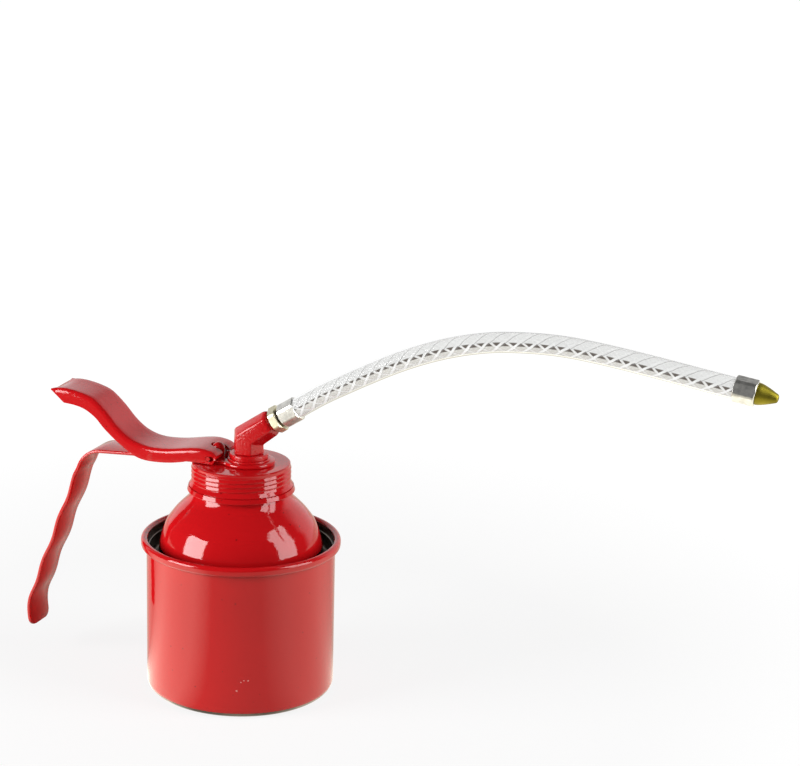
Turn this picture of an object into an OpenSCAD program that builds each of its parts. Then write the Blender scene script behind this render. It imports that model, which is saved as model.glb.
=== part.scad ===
// Flexible spout oil can with a squeeze lever pump.
// Millimetres, Z up. The origin is the centre of the base's underside.
// The spout leaves along +X and the handle stands at -X.

/* [Can] */
// Outer diameter of the cup's wall
cup_d = 93; // [90:0.5:98]
// Height of the rim above the base
rim_h = 78; // [74:0.5:90]
// Thickness of the can's sheet
sheet = 0.7; // [0.5:0.05:0.8]
// Outer radius where the base turns into the wall
base_r = 4.5; // [3:0.5:8]
// Width of the rolled bead round the rim
bead_w = 3.4; // [3:0.1:4.2]
// Height of the rolled bead
bead_h = 4.8; // [4.4:0.1:6]
// Clear width of the drip gutter
gutter_w = 4.5; // [3.5:0.1:6]
// Drop from the rim to the dome's widest level
dome_drop = 10; // [8:0.5:13]
// Height of the dome's flange against the wall
flange_h = 5; // [3:0.5:7]

/* [Neck and cap] */
// Outer diameter of the neck between its threads
neck_d = 44.1; // [43.6:0.1:45]
// Wall thickness of the neck
neck_wall = 0.65; // [0.5:0.05:0.8]
// Height of the neck above the dome
neck_h = 11.5; // [11.5:0.5:16]
// Pitch of the rolled thread
pitch = 4.4; // [4:0.1:5]
// Depth of the neck's thread
neck_thread = 1.15; // [0.8:0.05:1.2]
// Depth of the cap's thread
cap_thread = 1.3; // [1:0.05:1.4]
// Radial clearance between cap and neck in the thread's valleys
cap_gap = 0.45; // [0.4:0.05:0.6]
// Thickness of the cap's top
cap_t = 0.9; // [0.7:0.05:1.2]
// Thickness of the cap's skirt
skirt_t = 0.7; // [0.6:0.05:0.8]
// Gap between the cap's lip and the level of the neck's root
lip_gap = 0; // [-0.5:0.1:1]
// How far the lip flares out
lip_flare = 3.2; // [2:0.1:3.6]
// Thickness of the neck gasket
gasket_t = 1.5; // [1:0.1:2]

/* [Strap handle] */
// Thickness of the strap
strap_t = 1.8; // [1.5:0.1:2.2]
// Width of the strap
strap_w = 20; // [18:0.5:20.5]
// Radius of the eye under the elbow
eye_r = 12.8; // [11:0.2:14]
// Length of the flat from the spout's axis to the slope
flat_len = 30; // [27:0.5:34]
// Slope of the strap towards the bend, degrees
strap_slope = 3.4; // [1:0.2:4]
// Distance from the spout's axis to the bend's corner
reach = 85.6; // [80:0.1:92]
// Radius of the bend on the strap's middle line
bend_r = 14; // [9:0.5:16]
// Angle of the grip from the horizontal, degrees
grip_angle = 68.5; // [66:0.5:78]
// Length of the grip below the bend
grip_len = 95.5; // [80:0.5:102]
// Depth of the finger waves on either side
wave_a = 0.5; // [0.3:0.05:1.4]
// Length of one finger wave
wave_len = 26; // [22:0.5:30]
// Distance along the grip over which its end turns towards the can
end_turn = 20; // [16:1:30]
// How far the turned end leaves the grip's line
end_lift = 5.3; // [3:0.1:6]
// Radius of the corners at the grip's end
end_r = 4.5; // [3:0.5:9]

/* [Lever] */
// Thickness of the lever's sheet
lever_t = 1.2; // [1:0.1:1.4]
// Outer width of the lever at its nose
nose_w = 26; // [25.2:0.2:28]
// Outer width of the lever behind the pivot
waist_w = 23.5; // [23.5:0.1:25]
// Outer width of the lever at the thumb end
thumb_w = 22.5; // [21:0.5:25]
// Distance from the pump's axis to the lever's nose
nose_len = 4; // [4:0.1:5]
// Distance from the pump's axis to the pivot
pivot_arm = 31.8; // [30:0.2:34]
// Height of the pivot above the cap
pivot_h = 0.35; // [0.2:0.05:0.6]
// Diameter of the pivot pin
pivot_d = 2.5; // [2:0.1:2.6]
// Diameter of the pin through the rod
rod_pin_d = 2.2; // [1.8:0.1:2.3]
// Height of the rod's pin above the cap
rod_pin_h = 3.15; // [3.1:0.05:3.3]
// Running clearance of the pivot pin in the lever, radial
pin_gap = 0.05; // [0.03:0.01:0.1]
// Clearance of the rod's pin in its slots, each way
slot_gap = 0.2; // [0.15:0.01:0.25]
// Clearance between the rod and the lever's fork, each side
fork_gap = 0.4; // [0.3:0.05:0.6]

/* [Pump] */
// Distance from the can's axis to the pump's axis
pump_off = 12.2; // [11.8:0.1:12.4]
// Diameter of the pump rod
rod_d = 6.5; // [6:0.1:6.6]
// Height of the rod's domed head above the cap
rod_top = 8.4; // [7.8:0.1:9]
// Diameter of the turned block under the cap
block_d = 40; // [38:0.5:41]
// Height of the turned block
block_h = 4.5; // [4.3:0.1:6]
// Height of the boss that carries the cylinder
boss_h = 7.5; // [6:0.5:9]
// Outer diameter of the pump cylinder
barrel_d = 16; // [15:0.1:16.4]
// Inner diameter of the pump cylinder
bore_d = 13; // [12.8:0.1:13.4]
// Height of the cylinder's lower end above the base
barrel_z = 44; // [40:1:52]
// Running clearance of piston and rod, radial
run_gap = 0.05; // [0.03:0.01:0.08]
// Height of the piston
piston_h = 9; // [8:0.5:12]
// Wire diameter of the return spring
wire_d = 1.2; // [1:0.1:1.4]
// Number of the spring's coils
coils = 9; // [7:1:11]
// Outer diameter of the suction tube
suction_d = 6; // [5:0.2:6.4]
// Diameter of the strainer
strainer_d = 10; // [9:0.5:12]
// Gap between the strainer and the base's underside
strainer_z = 2; // [1.5:0.5:5]

/* [Spout] */
// Distance from the can's axis to the spout's upright axis
spout_off = 4; // [3.5:0.1:4.4]
// Diameter of the washer on the strap
washer_d = 21; // [18:0.5:22]
// Thickness of the washer
washer_t = 1; // [0.8:0.1:1.4]
// Diameter of the round lock nut
nut_d = 19; // [17:0.5:20]
// Height of the round lock nut
nut_h = 2.4; // [2:0.1:3.5]
// Distance across flats of the elbow's upright leg
leg_af = 14.1; // [12.5:0.1:14.5]
// Height from the elbow's foot to its corner
leg_h = 8.75; // [8.5:0.25:11]
// Tilt of the plane where leg and arm meet, degrees
knee_tilt = 23.6; // [20:0.2:28]
// Drop of that plane below the corner of the axes
knee_drop = 0.75; // [0:0.05:1.5]
// Angle of the elbow's arm above the horizontal, degrees
arm_tilt = 33.1; // [28:0.5:45]
// Length of the arm from the corner
arm_len = 15.2; // [14:0.2:18]
// Distance across flats at the arm's end
arm_af = 11.6; // [11:0.1:12.5]
// Distance across flats of the nipple's hexagon
nipple_af = 12.2; // [11.5:0.1:13]
// Length of the nipple's hexagon
nipple_h = 5; // [3.5:0.1:6]
// Width of the groove behind the nipple's hexagon
groove_w = 0.6; // [0.4:0.1:1]
// Distance across flats of the near ferrule
ferrule_af = 11; // [10.4:0.1:13]
// Length of each ferrule
ferrule_h = 9.8; // [8:0.2:12]
// Distance across flats of the far ferrule
far_af = 11; // [10.4:0.1:12]
// Outer diameter of the hose
hose_d = 10; // [9:0.1:10.4]
// Diameter of the nozzle's base
nozzle_d = 9; // [8:0.1:10]
// Diameter of the nozzle's tip
tip_d = 2.9; // [2.6:0.1:3.6]
// Length of the nozzle beyond its ferrule
nozzle_h = 9.6; // [8:0.1:12]

/* [Hidden] */
$fn = 96;

enamel = [0.70, 0.06, 0.08];
plated = [0.76, 0.76, 0.74];
passivated = [0.72, 0.66, 0.36];
rubber = [0.12, 0.12, 0.12];
clear_hose = [0.85, 0.87, 0.88];

eps = 0.01;
cup_r = cup_d/2;
seat_gap = 0.03;
flange_r = cup_r - sheet - seat_gap;
dome_r = flange_r - sheet - gutter_w;
equator_z = rim_h - dome_drop;
neck_r = neck_d/2;
neck_bore = neck_r - neck_wall;
root_z = equator_z + sqrt(pow(dome_r, 2) - pow(neck_r, 2));
neck_z = root_z + neck_h;
cap_z = neck_z + gasket_t + cap_t;
under_z = cap_z - cap_t;
skirt_r = neck_r + cap_gap;
thread_z = cap_z - 4.2;
lip_z = root_z + lip_gap;
pump_x = -pump_off;
spout_x = spout_off;

// Smooth ramp from 0 to 1
function ramp(t) = t <= 0 ? 0 : t >= 1 ? 1 : (1 - cos(180*t))/2;
// Height of the right-hand thread's wave, from 0 in a valley to 1 on a crest
function wave(z, a) = (1 + cos(360*(z - thread_z)/pitch - a))/2;
function ring(r, z, a) = [r*cos(a), r*sin(a), z];

thread_sides = 32;
function spin(j) = 360*j/thread_sides;
function next(j) = (j + 1) % thread_sides;

// Section of a round can with a rounded lower corner
module can_section(r, z, corner, top) {
    translate([0, z]) square([r - corner, top - z]);
    translate([0, z + corner]) square([r, top - z - corner]);
    translate([r - corner, z + corner]) circle(corner);
}

// Upright slot with round ends
module stadium(r, low, high) {
    translate([0, low]) circle(r);
    translate([0, high]) circle(r);
    translate([-r, low]) square([2*r, high - low]);
}

module body_cup() {
    bead_r = bead_w/2;
    low = rim_h - bead_h + bead_r;
    high = rim_h - bead_r;
    color(enamel) rotate_extrude() {
        difference() {
            can_section(cup_r, 0, base_r, high);
            can_section(cup_r - sheet, sheet, base_r - sheet, high + 1);
        }
        difference() {
            translate([cup_r - sheet + bead_r, 0]) stadium(bead_r, low, high);
            translate([cup_r - sheet + bead_r, 0]) stadium(bead_r - sheet, low, high);
            translate([cup_r, low - bead_r - 1]) square([0.35, bead_r + 1]);
        }
    }
}

// Solid plug with the neck's thread on its outside
module neck_thread_plug(low, high) {
    n = ceil((high - low)/pitch*5);
    m = thread_sides;
    function level(k) = low + (high - low)*k/n;
    function fade(z) = ramp(min(z - low, high - z)/(pitch/2));
    pts = [for (k = [0:n], j = [0:m - 1]) let (z = level(k))
        ring(neck_r + neck_thread*fade(z)*wave(z, spin(j)), z, spin(j))];
    sides = [for (k = [0:n - 1], j = [0:m - 1])
        [k*m + j, (k + 1)*m + j, (k + 1)*m + next(j), k*m + next(j)]];
    foot = [for (j = [0:m - 1]) j];
    head = [for (j = [0:m - 1]) (n + 1)*m - 1 - j];
    polyhedron(pts, concat(sides, [foot, head]), convexity = 6);
}

module dome_top() {
    gutter_x = (dome_r - sheet + flange_r)/2;
    gutter_r = (flange_r - dome_r + sheet)/2;
    low = root_z + 1.2;
    high = neck_z - 1.5;
    color(enamel) difference() {
        union() {
            rotate_extrude() {
                intersection() {
                    translate([0, equator_z]) difference() {
                        circle(dome_r);
                        circle(dome_r - sheet);
                    }
                    translate([neck_bore, equator_z]) square([dome_r, dome_r]);
                }
                translate([gutter_x, equator_z]) difference() {
                    circle(gutter_r);
                    circle(gutter_r - sheet);
                    translate([-gutter_r - 1, 0]) square([2*gutter_r + 2, gutter_r + 1]);
                }
                translate([flange_r - sheet, equator_z]) square([sheet, flange_h]);
                translate([neck_bore, root_z - 0.4]) square([neck_wall, low + 0.1 - root_z + 0.4]);
                translate([neck_bore, high - 0.1]) square([neck_wall, neck_z - high + 0.1]);
            }
            neck_thread_plug(low, high);
        }
        translate([0, 0, root_z - 2]) cylinder(r = neck_bore, h = neck_h + 4);
    }
}

module neck_gasket() {
    inner = neck_bore - 0.5;
    outer = neck_r + 0.1;
    color(rubber) rotate_extrude() polygon([[inner, neck_z], [outer, neck_z],
        [outer, under_z - 0.7], [outer - 0.6, under_z], [inner, under_z]]);
}

// The cap's threaded skirt and flared lip, both faces of the sheet
module cap_skirt(high) {
    n = ceil((high - lip_z)/pitch*5);
    m = thread_sides;
    flare_z = lip_z + 2.35;
    function level(k) = lip_z + (high - lip_z)*k/n;
    function flare(z) = lip_flare*max(0, flare_z - z)/(flare_z - lip_z);
    function body(z, a) = cap_thread*ramp((high - z)/(pitch/3))*wave(z, a);
    function grow(z, a) = max(body(z, a), flare(z));
    // The last ring ends inside the round wall above
    function tuck(k) = k == n ? 0.15 : 0;
    outer = [for (k = [0:n], j = [0:m - 1]) let (z = level(k))
        ring(skirt_r + skirt_t - tuck(k) + grow(z, spin(j)), z, spin(j))];
    inner = [for (k = [0:n], j = [0:m - 1]) let (z = level(k))
        ring(skirt_r + tuck(k) + grow(z, spin(j)), z, spin(j))];
    c = len(outer);
    polyhedron(concat(outer, inner), concat(
        [for (k = [0:n - 1], j = [0:m - 1])
            [k*m + j, (k + 1)*m + j, (k + 1)*m + next(j), k*m + next(j)]],
        [for (k = [0:n - 1], j = [0:m - 1])
            [c + k*m + j, c + k*m + next(j), c + (k + 1)*m + next(j), c + (k + 1)*m + j]],
        [for (j = [0:m - 1]) [j, next(j), c + next(j), c + j]],
        [for (j = [0:m - 1]) [n*m + j, c + n*m + j, c + n*m + next(j), n*m + next(j)]]
    ), convexity = 10);
}

module screw_cap() {
    edge = 1.2;
    inside = edge - skirt_t;
    high = cap_z - 2;
    out = skirt_r + skirt_t;
    color(enamel) difference() {
        union() {
            cap_skirt(high);
            rotate_extrude() {
                translate([0, under_z]) square([out - edge, cap_t]);
                translate([skirt_r, high - 0.1]) square([skirt_t, cap_z - edge - high + 0.1]);
                difference() {
                    translate([out - edge, cap_z - edge]) intersection() {
                        circle(edge);
                        square(edge);
                    }
                    translate([out - edge, under_z - inside]) circle(inside);
                    translate([out - edge - 1, cap_z - edge - 1]) square([inside + 1, 1 + edge - cap_t - inside]);
                }
            }
        }
        translate([pump_x, 0, under_z - 1]) cylinder(r = gland_r, h = cap_t + 2);
        translate([spout_x, 0, under_z - 1]) cylinder(r = spigot_r, h = cap_t + 2);
    }
}

// Strap: its middle line, seen from the side
plate_z = cap_z + strap_t/2;
slope_x = spout_x - flat_len;
corner = [spout_x - reach, plate_z - (reach - flat_len)*tan(strap_slope)];
turn = grip_angle - strap_slope;
tangent = bend_r*tan(turn/2);
bend_a = [corner[0] + tangent*cos(strap_slope), corner[1] + tangent*sin(strap_slope)];
bend_b = [corner[0] - tangent*cos(grip_angle), corner[1] - tangent*sin(grip_angle)];
bend_c = [bend_a[0] + bend_r*sin(strap_slope), bend_a[1] - bend_r*cos(strap_slope)];

// How far the grip leaves its straight line towards the can, s along it
function finger(s) = wave_a*ramp(s/6)*cos(360*(s - 0.73*wave_len)/wave_len);
function lift(s) = end_lift*pow(max(0, s - grip_len + end_turn)/end_turn, 2);
function grip(s) = let (d = finger(s) + lift(s)) [
    bend_b[0] - s*cos(grip_angle) + d*sin(grip_angle),
    bend_b[1] - s*sin(grip_angle) - d*cos(grip_angle)];
bend_pts = [for (i = [0:8]) let (a = 90 + strap_slope + turn*i/8)
    [bend_c[0] + bend_r*cos(a), bend_c[1] + bend_r*sin(a)]];
grip_pts = [for (i = [1:56]) grip(grip_len*i/56)];
middle = concat([[slope_x - 1, plate_z - tan(strap_slope)]], bend_pts, grip_pts);

// Unit normal of a polyline at point i
function unit(v) = v/norm(v);
function side(p, i) = let (t = unit(p[min(i + 1, len(p) - 1)] - p[max(i - 1, 0)])) [-t[1], t[0]];
function shifted(p, d) = [for (i = [0:len(p) - 1]) p[i] + d*side(p, i)];
function reversed(p) = [for (i = [len(p) - 1:-1:0]) p[i]];

// Extrudes an outline drawn in X and Z across the part
module across(w) {
    translate([0, w/2, 0]) rotate([90, 0, 0]) linear_extrude(w) children();
}

module strap_side() {
    h = strap_t/2;
    polygon(concat(shifted(middle, h), reversed(shifted(middle, -h))));
    polygon([[slope_x - 1.5, plate_z + h - 1.5*tan(strap_slope)], [slope_x, plate_z + h],
        [slope_x, plate_z - h], [slope_x - 1.5, plate_z - h - 1.5*tan(strap_slope)]]);
}

// Outline of the grip seen from behind, with round lower corners
module grip_front() {
    low = grip(grip_len)[1] - 0.5;
    for (s = [-1, 1]) translate([s*(strap_w/2 - end_r), low + end_r]) circle(end_r);
    translate([-strap_w/2 + end_r, low]) square([strap_w - 2*end_r, end_r]);
    translate([-strap_w/2, low + end_r]) square([strap_w, cap_z - low]);
}

module strap_handle() {
    cheek_r = 2.6;
    window = cheek_r + 0.4;
    pivot_z = cap_z + pivot_h;
    color(enamel) difference() {
        union() {
            intersection() {
                across(strap_w) strap_side();
                rotate([90, 0, -90]) translate([0, 0, -spout_x]) linear_extrude(reach + grip_len) grip_front();
            }
            translate([slope_x, -strap_w/2, cap_z]) cube([flat_len, strap_w, strap_t]);
            translate([spout_x, 0, cap_z]) cylinder(r = eye_r, h = strap_t);
            intersection() {
                across(strap_w) translate([pump_x - pivot_arm, pivot_z]) circle(cheek_r);
                translate([pump_x - pivot_arm - 5, -strap_w/2, pivot_z - 1.4]) cube([10, strap_w, 10]);
            }
        }
        translate([pump_x - pivot_arm - window, -strap_w/2 + 1.8, pivot_z - 9])
            cube([2*window, strap_w - 3.6, 20]);
        across(strap_w + 2) translate([pump_x - pivot_arm, pivot_z]) circle(pivot_d/2);
        translate([spout_x, 0, cap_z - 1]) cylinder(r = spigot_r, h = strap_t + 2);
        translate([pump_x, 0, cap_z - 1]) cylinder(r = gland_r, h = strap_t + 2);
    }
}

// Lever: points on the top of its web and on the lower edge of its walls.
// X is counted from the pump's axis, Z from the top of the cap.
nose_x = pump_x + nose_len;
web_pts = [[-86.8, 28.2], [-82.5, 28.9], [-77.8, 28.8], [-72.8, 28], [-68.8, 27], [-64.8, 25.6],
    [-61.6, 23.6], [-56, 18.6], [-50.8, 12.9], [-46.8, 9.4], [-42.8, 6.9], [-38, 5.2], [-32.8, 4.4],
    [-26.8, 4.5], [-20.8, 5.1], [-11.8, 6.7], [-5.8, 7.4], [-2, 7.1], [1.2, 6.4], [3, 5.4]];
edge_pts = [[-79.6, 21.6], [-73.5, 21.1], [-67.5, 19.5], [-61.8, 15.9], [-56.9, 10.9], [-50, 5.3],
    [-42.9, 0.6], [-38.4, -1.5], [-33.8, -2.3], [-28, -2.3], [-21.9, -1.8], [-16, -0.8], [-11.6, 0.3]];
function bezier_mid(a, b, c, d, t) = 0.5*(2*b + (c - a)*t + (2*a - 5*b + 4*c - d)*t*t
    + (3*b - a - 3*c + d)*t*t*t);
function smooth(p, n) = concat([for (i = [0:len(p) - 2], j = [0:n - 1])
    bezier_mid(p[max(i - 1, 0)], p[i], p[i + 1], p[min(i + 2, len(p) - 1)], j/n)], [p[len(p) - 1]]);
function to_lever(p) = [for (q = p) [pump_x + q[0], cap_z + q[1]]];
web_line = to_lever(smooth(web_pts, 3));
edge_line = to_lever(smooth(edge_pts, 3));
lever_len = -web_pts[0][0];
lever_h = web_pts[2][1];
waist_x = pump_x - pivot_arm - 6;
wall_end = [pump_x - lever_len + 0.7, cap_z + web_pts[0][1] - 1.2];

module lever_side() {
    polygon(concat(web_line, [[nose_x, cap_z + 4.4], [nose_x, cap_z + 3.2], [nose_x - 1.4, cap_z + 0.6],
        [pump_x - 8, cap_z + 0.5]], reversed(edge_line), [wall_end]));
}

// Half width of the lever's outside at x
function half_w(x) =
    x > waist_x ? (waist_w + (nose_w - waist_w)*(x - waist_x)/(nose_x - waist_x))/2
    : (waist_w + (thumb_w - waist_w)*(waist_x - x)/(waist_x - pump_x + lever_len))/2;

module lever_plan(inset) {
    edge = [for (x = [nose_x + 1, waist_x, pump_x - lever_len - 3]) [x, half_w(x) - inset]];
    polygon(concat(edge, [for (i = [2:-1:0]) [edge[i][0], -edge[i][1]]]));
}

// Slot in the lever for the rod's pin, closed at both ends
module pin_slot() {
    r = rod_pin_d/2 + slot_gap;
    travel = pivot_arm*(1/cos(squeeze) - 1) + (rod_pin_h - pivot_h)*tan(squeeze);
    z = cap_z + rod_pin_h;
    translate([pump_x, z]) circle(r);
    translate([pump_x + travel, z]) circle(r);
    translate([pump_x, z - r]) square([travel, 2*r]);
}
squeeze = 14;

module lever() {
    fork = rod_d/2 + fork_gap;
    color(enamel) difference() {
        intersection() {
            across(2*nose_w) lever_side();
            translate([0, 0, cap_z - lever_h]) linear_extrude(3*lever_h) lever_plan(0);
        }
        intersection() {
            across(2*nose_w) polygon(concat([web_line[0] - [6, lever_t]], shifted(web_line, -lever_t),
                [[nose_x + 1, cap_z + 4.2], [nose_x + 1, cap_z - lever_h/2],
                [web_line[0][0] - 6, cap_z - lever_h/2]]));
            translate([0, 0, cap_z - lever_h]) linear_extrude(3*lever_h) lever_plan(lever_t);
        }
        translate([pump_x - fork, -fork, cap_z - 5]) cube([fork + nose_len + 2, 2*fork, 30]);
        across(2*nose_w) translate([pump_x - pivot_arm, cap_z + pivot_h]) circle(pivot_d/2 + pin_gap);
        across(2*nose_w) pin_slot();
    }
}

module pivot_pin() {
    x = pump_x - pivot_arm;
    color(plated) across(2*half_w(x) + 0.2) translate([x, cap_z + pivot_h]) circle(pivot_d/2);
}

module rod_pin() {
    color(plated) across(2*half_w(pump_x) - 0.1) translate([pump_x, cap_z + rod_pin_h]) circle(rod_pin_d/2);
}

// Pump: levels from the foot valve upwards
valve_z = barrel_z;
piston_z = valve_z + 7;
piston_top = piston_z + piston_h;
stud_r = 2.5;
block_z = under_z - block_h;
boss_z = block_z - boss_h;
gland_r = 4;
gland_z = under_z - 2.9;
seal_z = gland_z - 1.8;
spigot_r = 5;
spigot_top = cap_z + strap_t + washer_t + nut_h + 6;
ball_seat = cap_z + strap_t + washer_t;
bore_r = bore_d/2;

module at_pump(z) {
    translate([pump_x, 0, z]) children();
}

module pump_rod() {
    r = rod_d/2;
    top = cap_z + rod_top;
    color(plated) difference() {
        at_pump(0) rotate_extrude() {
            translate([0, piston_z]) square([stud_r, piston_h + 1]);
            translate([0, piston_top]) square([r, top - r - piston_top]);
            translate([0, top - r]) intersection() {
                circle(r);
                translate([0, -1]) square([r, r + 1]);
            }
        }
        across(20) translate([pump_x, cap_z + rod_pin_h]) circle(rod_pin_d/2);
    }
}

module piston() {
    hub = 4;
    color(plated) at_pump(0) rotate_extrude() {
        translate([stud_r, piston_z]) square([5.6 - stud_r, 0.8]);
        translate([stud_r, piston_z]) square([hub - stud_r, piston_h]);
        translate([stud_r, piston_z + 4.5]) square([bore_r - run_gap - stud_r, piston_h - 4.5]);
    }
}

module piston_seal() {
    low = piston_z + 0.8;
    high = piston_z + 4.5;
    out = bore_r - run_gap;
    color(rubber) at_pump(0) rotate_extrude()
        polygon([[4, low], [out - 0.6, low], [out, low + 0.8], [out, high], [4, high]]);
}

// Helical wire between the piston and the boss
module return_spring() {
    r = bore_r - 0.8 - wire_d/2;
    low = piston_top + wire_d/2 + 0.05;
    high = boss_z - wire_d/2 - 0.05;
    n = coils*14;
    sides = 6;
    pts = [for (i = [0:n], j = [0:sides - 1]) let (a = 360*coils*i/n, b = 360*j/sides,
        d = r + wire_d/2*cos(b)) [d*cos(a), d*sin(a), low + (high - low)*i/n + wire_d/2*sin(b)]];
    walls = [for (i = [0:n - 1], j = [0:sides - 1]) let (k = (j + 1) % sides)
        [i*sides + j, (i + 1)*sides + j, (i + 1)*sides + k, i*sides + k]];
    start = [for (j = [0:sides - 1]) j];
    end = [for (j = [0:sides - 1]) (n + 1)*sides - 1 - j];
    color(plated) at_pump(0) polyhedron(pts, concat(walls, [start, end]), convexity = 12);
}

module gland_bush() {
    color(passivated) at_pump(gland_z) difference() {
        cylinder(r = gland_r, h = cap_z + strap_t - gland_z);
        translate([0, 0, -1]) cylinder(r = rod_d/2 + run_gap, h = cap_z + strap_t - gland_z + 2);
    }
}

module gland_seal() {
    color(rubber) at_pump(seal_z) difference() {
        cylinder(r = gland_r, h = gland_z - seal_z);
        translate([0, 0, -1]) cylinder(r = rod_d/2 + run_gap, h = gland_z - seal_z + 2);
    }
}

module pump_block() {
    drill_x = pump_x + 5.2;
    cross_z = under_z - 2.1;
    color(plated) difference() {
        union() {
            translate([0, 0, block_z]) cylinder(d = block_d, h = block_h);
            at_pump(boss_z) cylinder(r = bore_r - 0.05, h = boss_h + 1);
            translate([spout_x, 0, block_z + 1]) cylinder(r = spigot_r, h = spigot_top - block_z - 1);
        }
        at_pump(boss_z - 1) cylinder(r = rod_d/2 + 0.25, h = boss_h + block_h + 2);
        at_pump(seal_z) cylinder(r = gland_r, h = 20);
        translate([drill_x, 0, boss_z - 1]) cylinder(r = 0.9, h = cross_z + 0.9 - boss_z + 1);
        translate([drill_x, 0, cross_z]) rotate([0, 90, 0]) cylinder(r = 1, h = spout_x - drill_x);
        translate([spout_x, 0, cross_z - 1.2]) cylinder(r = 2, h = 40);
        translate([spout_x, 0, ball_seat]) cylinder(r = 3, h = 40);
    }
}

module pump_cylinder() {
    color(plated) at_pump(barrel_z) difference() {
        cylinder(d = barrel_d, h = block_z - barrel_z);
        translate([0, 0, -1]) cylinder(d = bore_d, h = block_z - barrel_z + 2);
    }
}

module foot_valve() {
    color(plated) at_pump(valve_z) difference() {
        union() {
            cylinder(r = bore_r - 0.05, h = 6);
            translate([0, 0, -4]) cylinder(d = barrel_d, h = 4);
            translate([0, 0, -10]) cylinder(r = 4.5, h = 7);
        }
        translate([0, 0, -11]) cylinder(r = 2, h = 20);
        translate([0, 0, -11]) cylinder(d = suction_d, h = 6);
        translate([0, 0, -1]) cylinder(r = 4, h = 8);
    }
}

module inlet_ball() {
    color(plated) at_pump(valve_z - 1 + sqrt(9 - 4) + eps) sphere(3);
}

module suction_tube() {
    low = strainer_z + 4;
    color(clear_hose) at_pump(low) difference() {
        cylinder(d = suction_d, h = valve_z - 5 - low);
        translate([0, 0, -1]) cylinder(d = suction_d - 2, h = valve_z);
    }
}

module strainer() {
    color(passivated) at_pump(strainer_z) difference() {
        cylinder(d = strainer_d, h = 7);
        translate([0, 0, 0.8]) cylinder(d = strainer_d - 1.6, h = 3.2);
        translate([0, 0, 3]) cylinder(d = suction_d, h = 5);
        for (a = [0:45:315]) rotate([0, 90, a]) translate([-2.4, 0, 0]) cylinder(d = 1.6, h = strainer_d);
    }
}

module at_spout(z) {
    translate([spout_x, 0, z]) children();
}

module clamp_washer() {
    color(enamel) at_spout(cap_z + strap_t) difference() {
        cylinder(d = washer_d, h = washer_t);
        translate([0, 0, -1]) cylinder(r = spigot_r, h = washer_t + 2);
    }
}

module lock_nut() {
    bevel = 0.5;
    color(enamel) at_spout(cap_z + strap_t + washer_t) rotate_extrude() polygon([[spigot_r, 0],
        [nut_d/2, 0], [nut_d/2, nut_h - bevel], [nut_d/2 - bevel, nut_h], [spigot_r, nut_h]]);
}

// Elbow: its corner and the frame of its arm
foot_z = cap_z + strap_t + washer_t + nut_h;
corner_z = foot_z + leg_h;
knee_z = corner_z - knee_drop;
arm = [cos(arm_tilt), sin(arm_tilt)];
module on_arm(s) {
    translate([spout_x, 0, corner_z]) rotate([0, 90 - arm_tilt, 0]) translate([0, 0, s]) children();
}
arm_end = [spout_x, corner_z] + arm_len*arm;
far_s = arm_len + 0.2 + nipple_h + groove_w;
hose_start = [spout_x, corner_z] + (far_s + ferrule_h)*arm;

// Hexagonal prism, flats on both sides of the part, with turned ends
module turned_hex(af, h, low, high) {
    r = af/2/cos(30);
    intersection() {
        cylinder(r = r, h = h, $fn = 6);
        rotate_extrude() polygon([[0, 0], [r - low, 0], [r + 0.02, 0.6*low + 0.01],
            [r + 0.02, h - 0.6*high - 0.01], [r - high, h], [0, h]]);
    }
}

module elbow() {
    ring_pts = function (af) [for (j = [0:5]) af/2/cos(30)*[cos(60*j), sin(60*j)]];
    foot = [for (q = ring_pts(leg_af)) [spout_x + q[0], q[1], foot_z]];
    knee = [for (q = ring_pts(leg_af - 0.6)) [spout_x + q[0], q[1], knee_z - q[0]*tan(knee_tilt)]];
    tip = [for (q = ring_pts(arm_af)) [arm_end[0] + q[0]*arm[1], q[1], arm_end[1] - q[0]*arm[0]]];
    color(enamel) difference() {
        polyhedron(concat(foot, knee, tip), concat(
            [for (k = [0, 6], j = [0:5]) [k + j, k + 6 + j, k + 6 + (j + 1) % 6, k + (j + 1) % 6]],
            [[0, 1, 2, 3, 4, 5], [17, 16, 15, 14, 13, 12]]), convexity = 4);
        at_spout(foot_z - 1) cylinder(r = spigot_r, h = spigot_top - foot_z + 1);
        at_spout(foot_z - 1) cylinder(r = 2, h = leg_h + 1);
        on_arm(0) cylinder(r = 2, h = arm_len + 5);
        on_arm(arm_len - 6) cylinder(r = 4, h = 12);
    }
}

module outlet_ball() {
    r = 2.75;
    color(plated) at_spout(ball_seat + sqrt(r*r - 4) + eps) sphere(r);
}

module hose_nipple() {
    hex_s = arm_len + 0.2;
    color(passivated) difference() {
        union() {
            on_arm(arm_len - 6) cylinder(r = 4, h = 7);
            on_arm(hex_s) turned_hex(nipple_af, nipple_h, 0.5, 0.5);
            on_arm(hex_s + nipple_h - 1) cylinder(r = 4.4, h = groove_w + 1);
            on_arm(far_s - 0.1) cylinder(r = 3.25, h = ferrule_h + 0.1);
        }
        on_arm(arm_len - 7) cylinder(r = 1.75, h = 40);
    }
}

module near_ferrule() {
    color(plated) difference() {
        on_arm(far_s) turned_hex(ferrule_af, ferrule_h, 0.5, 1.1);
        on_arm(far_s - 1) cylinder(r = 3.25, h = ferrule_h + 2);
    }
}

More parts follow.
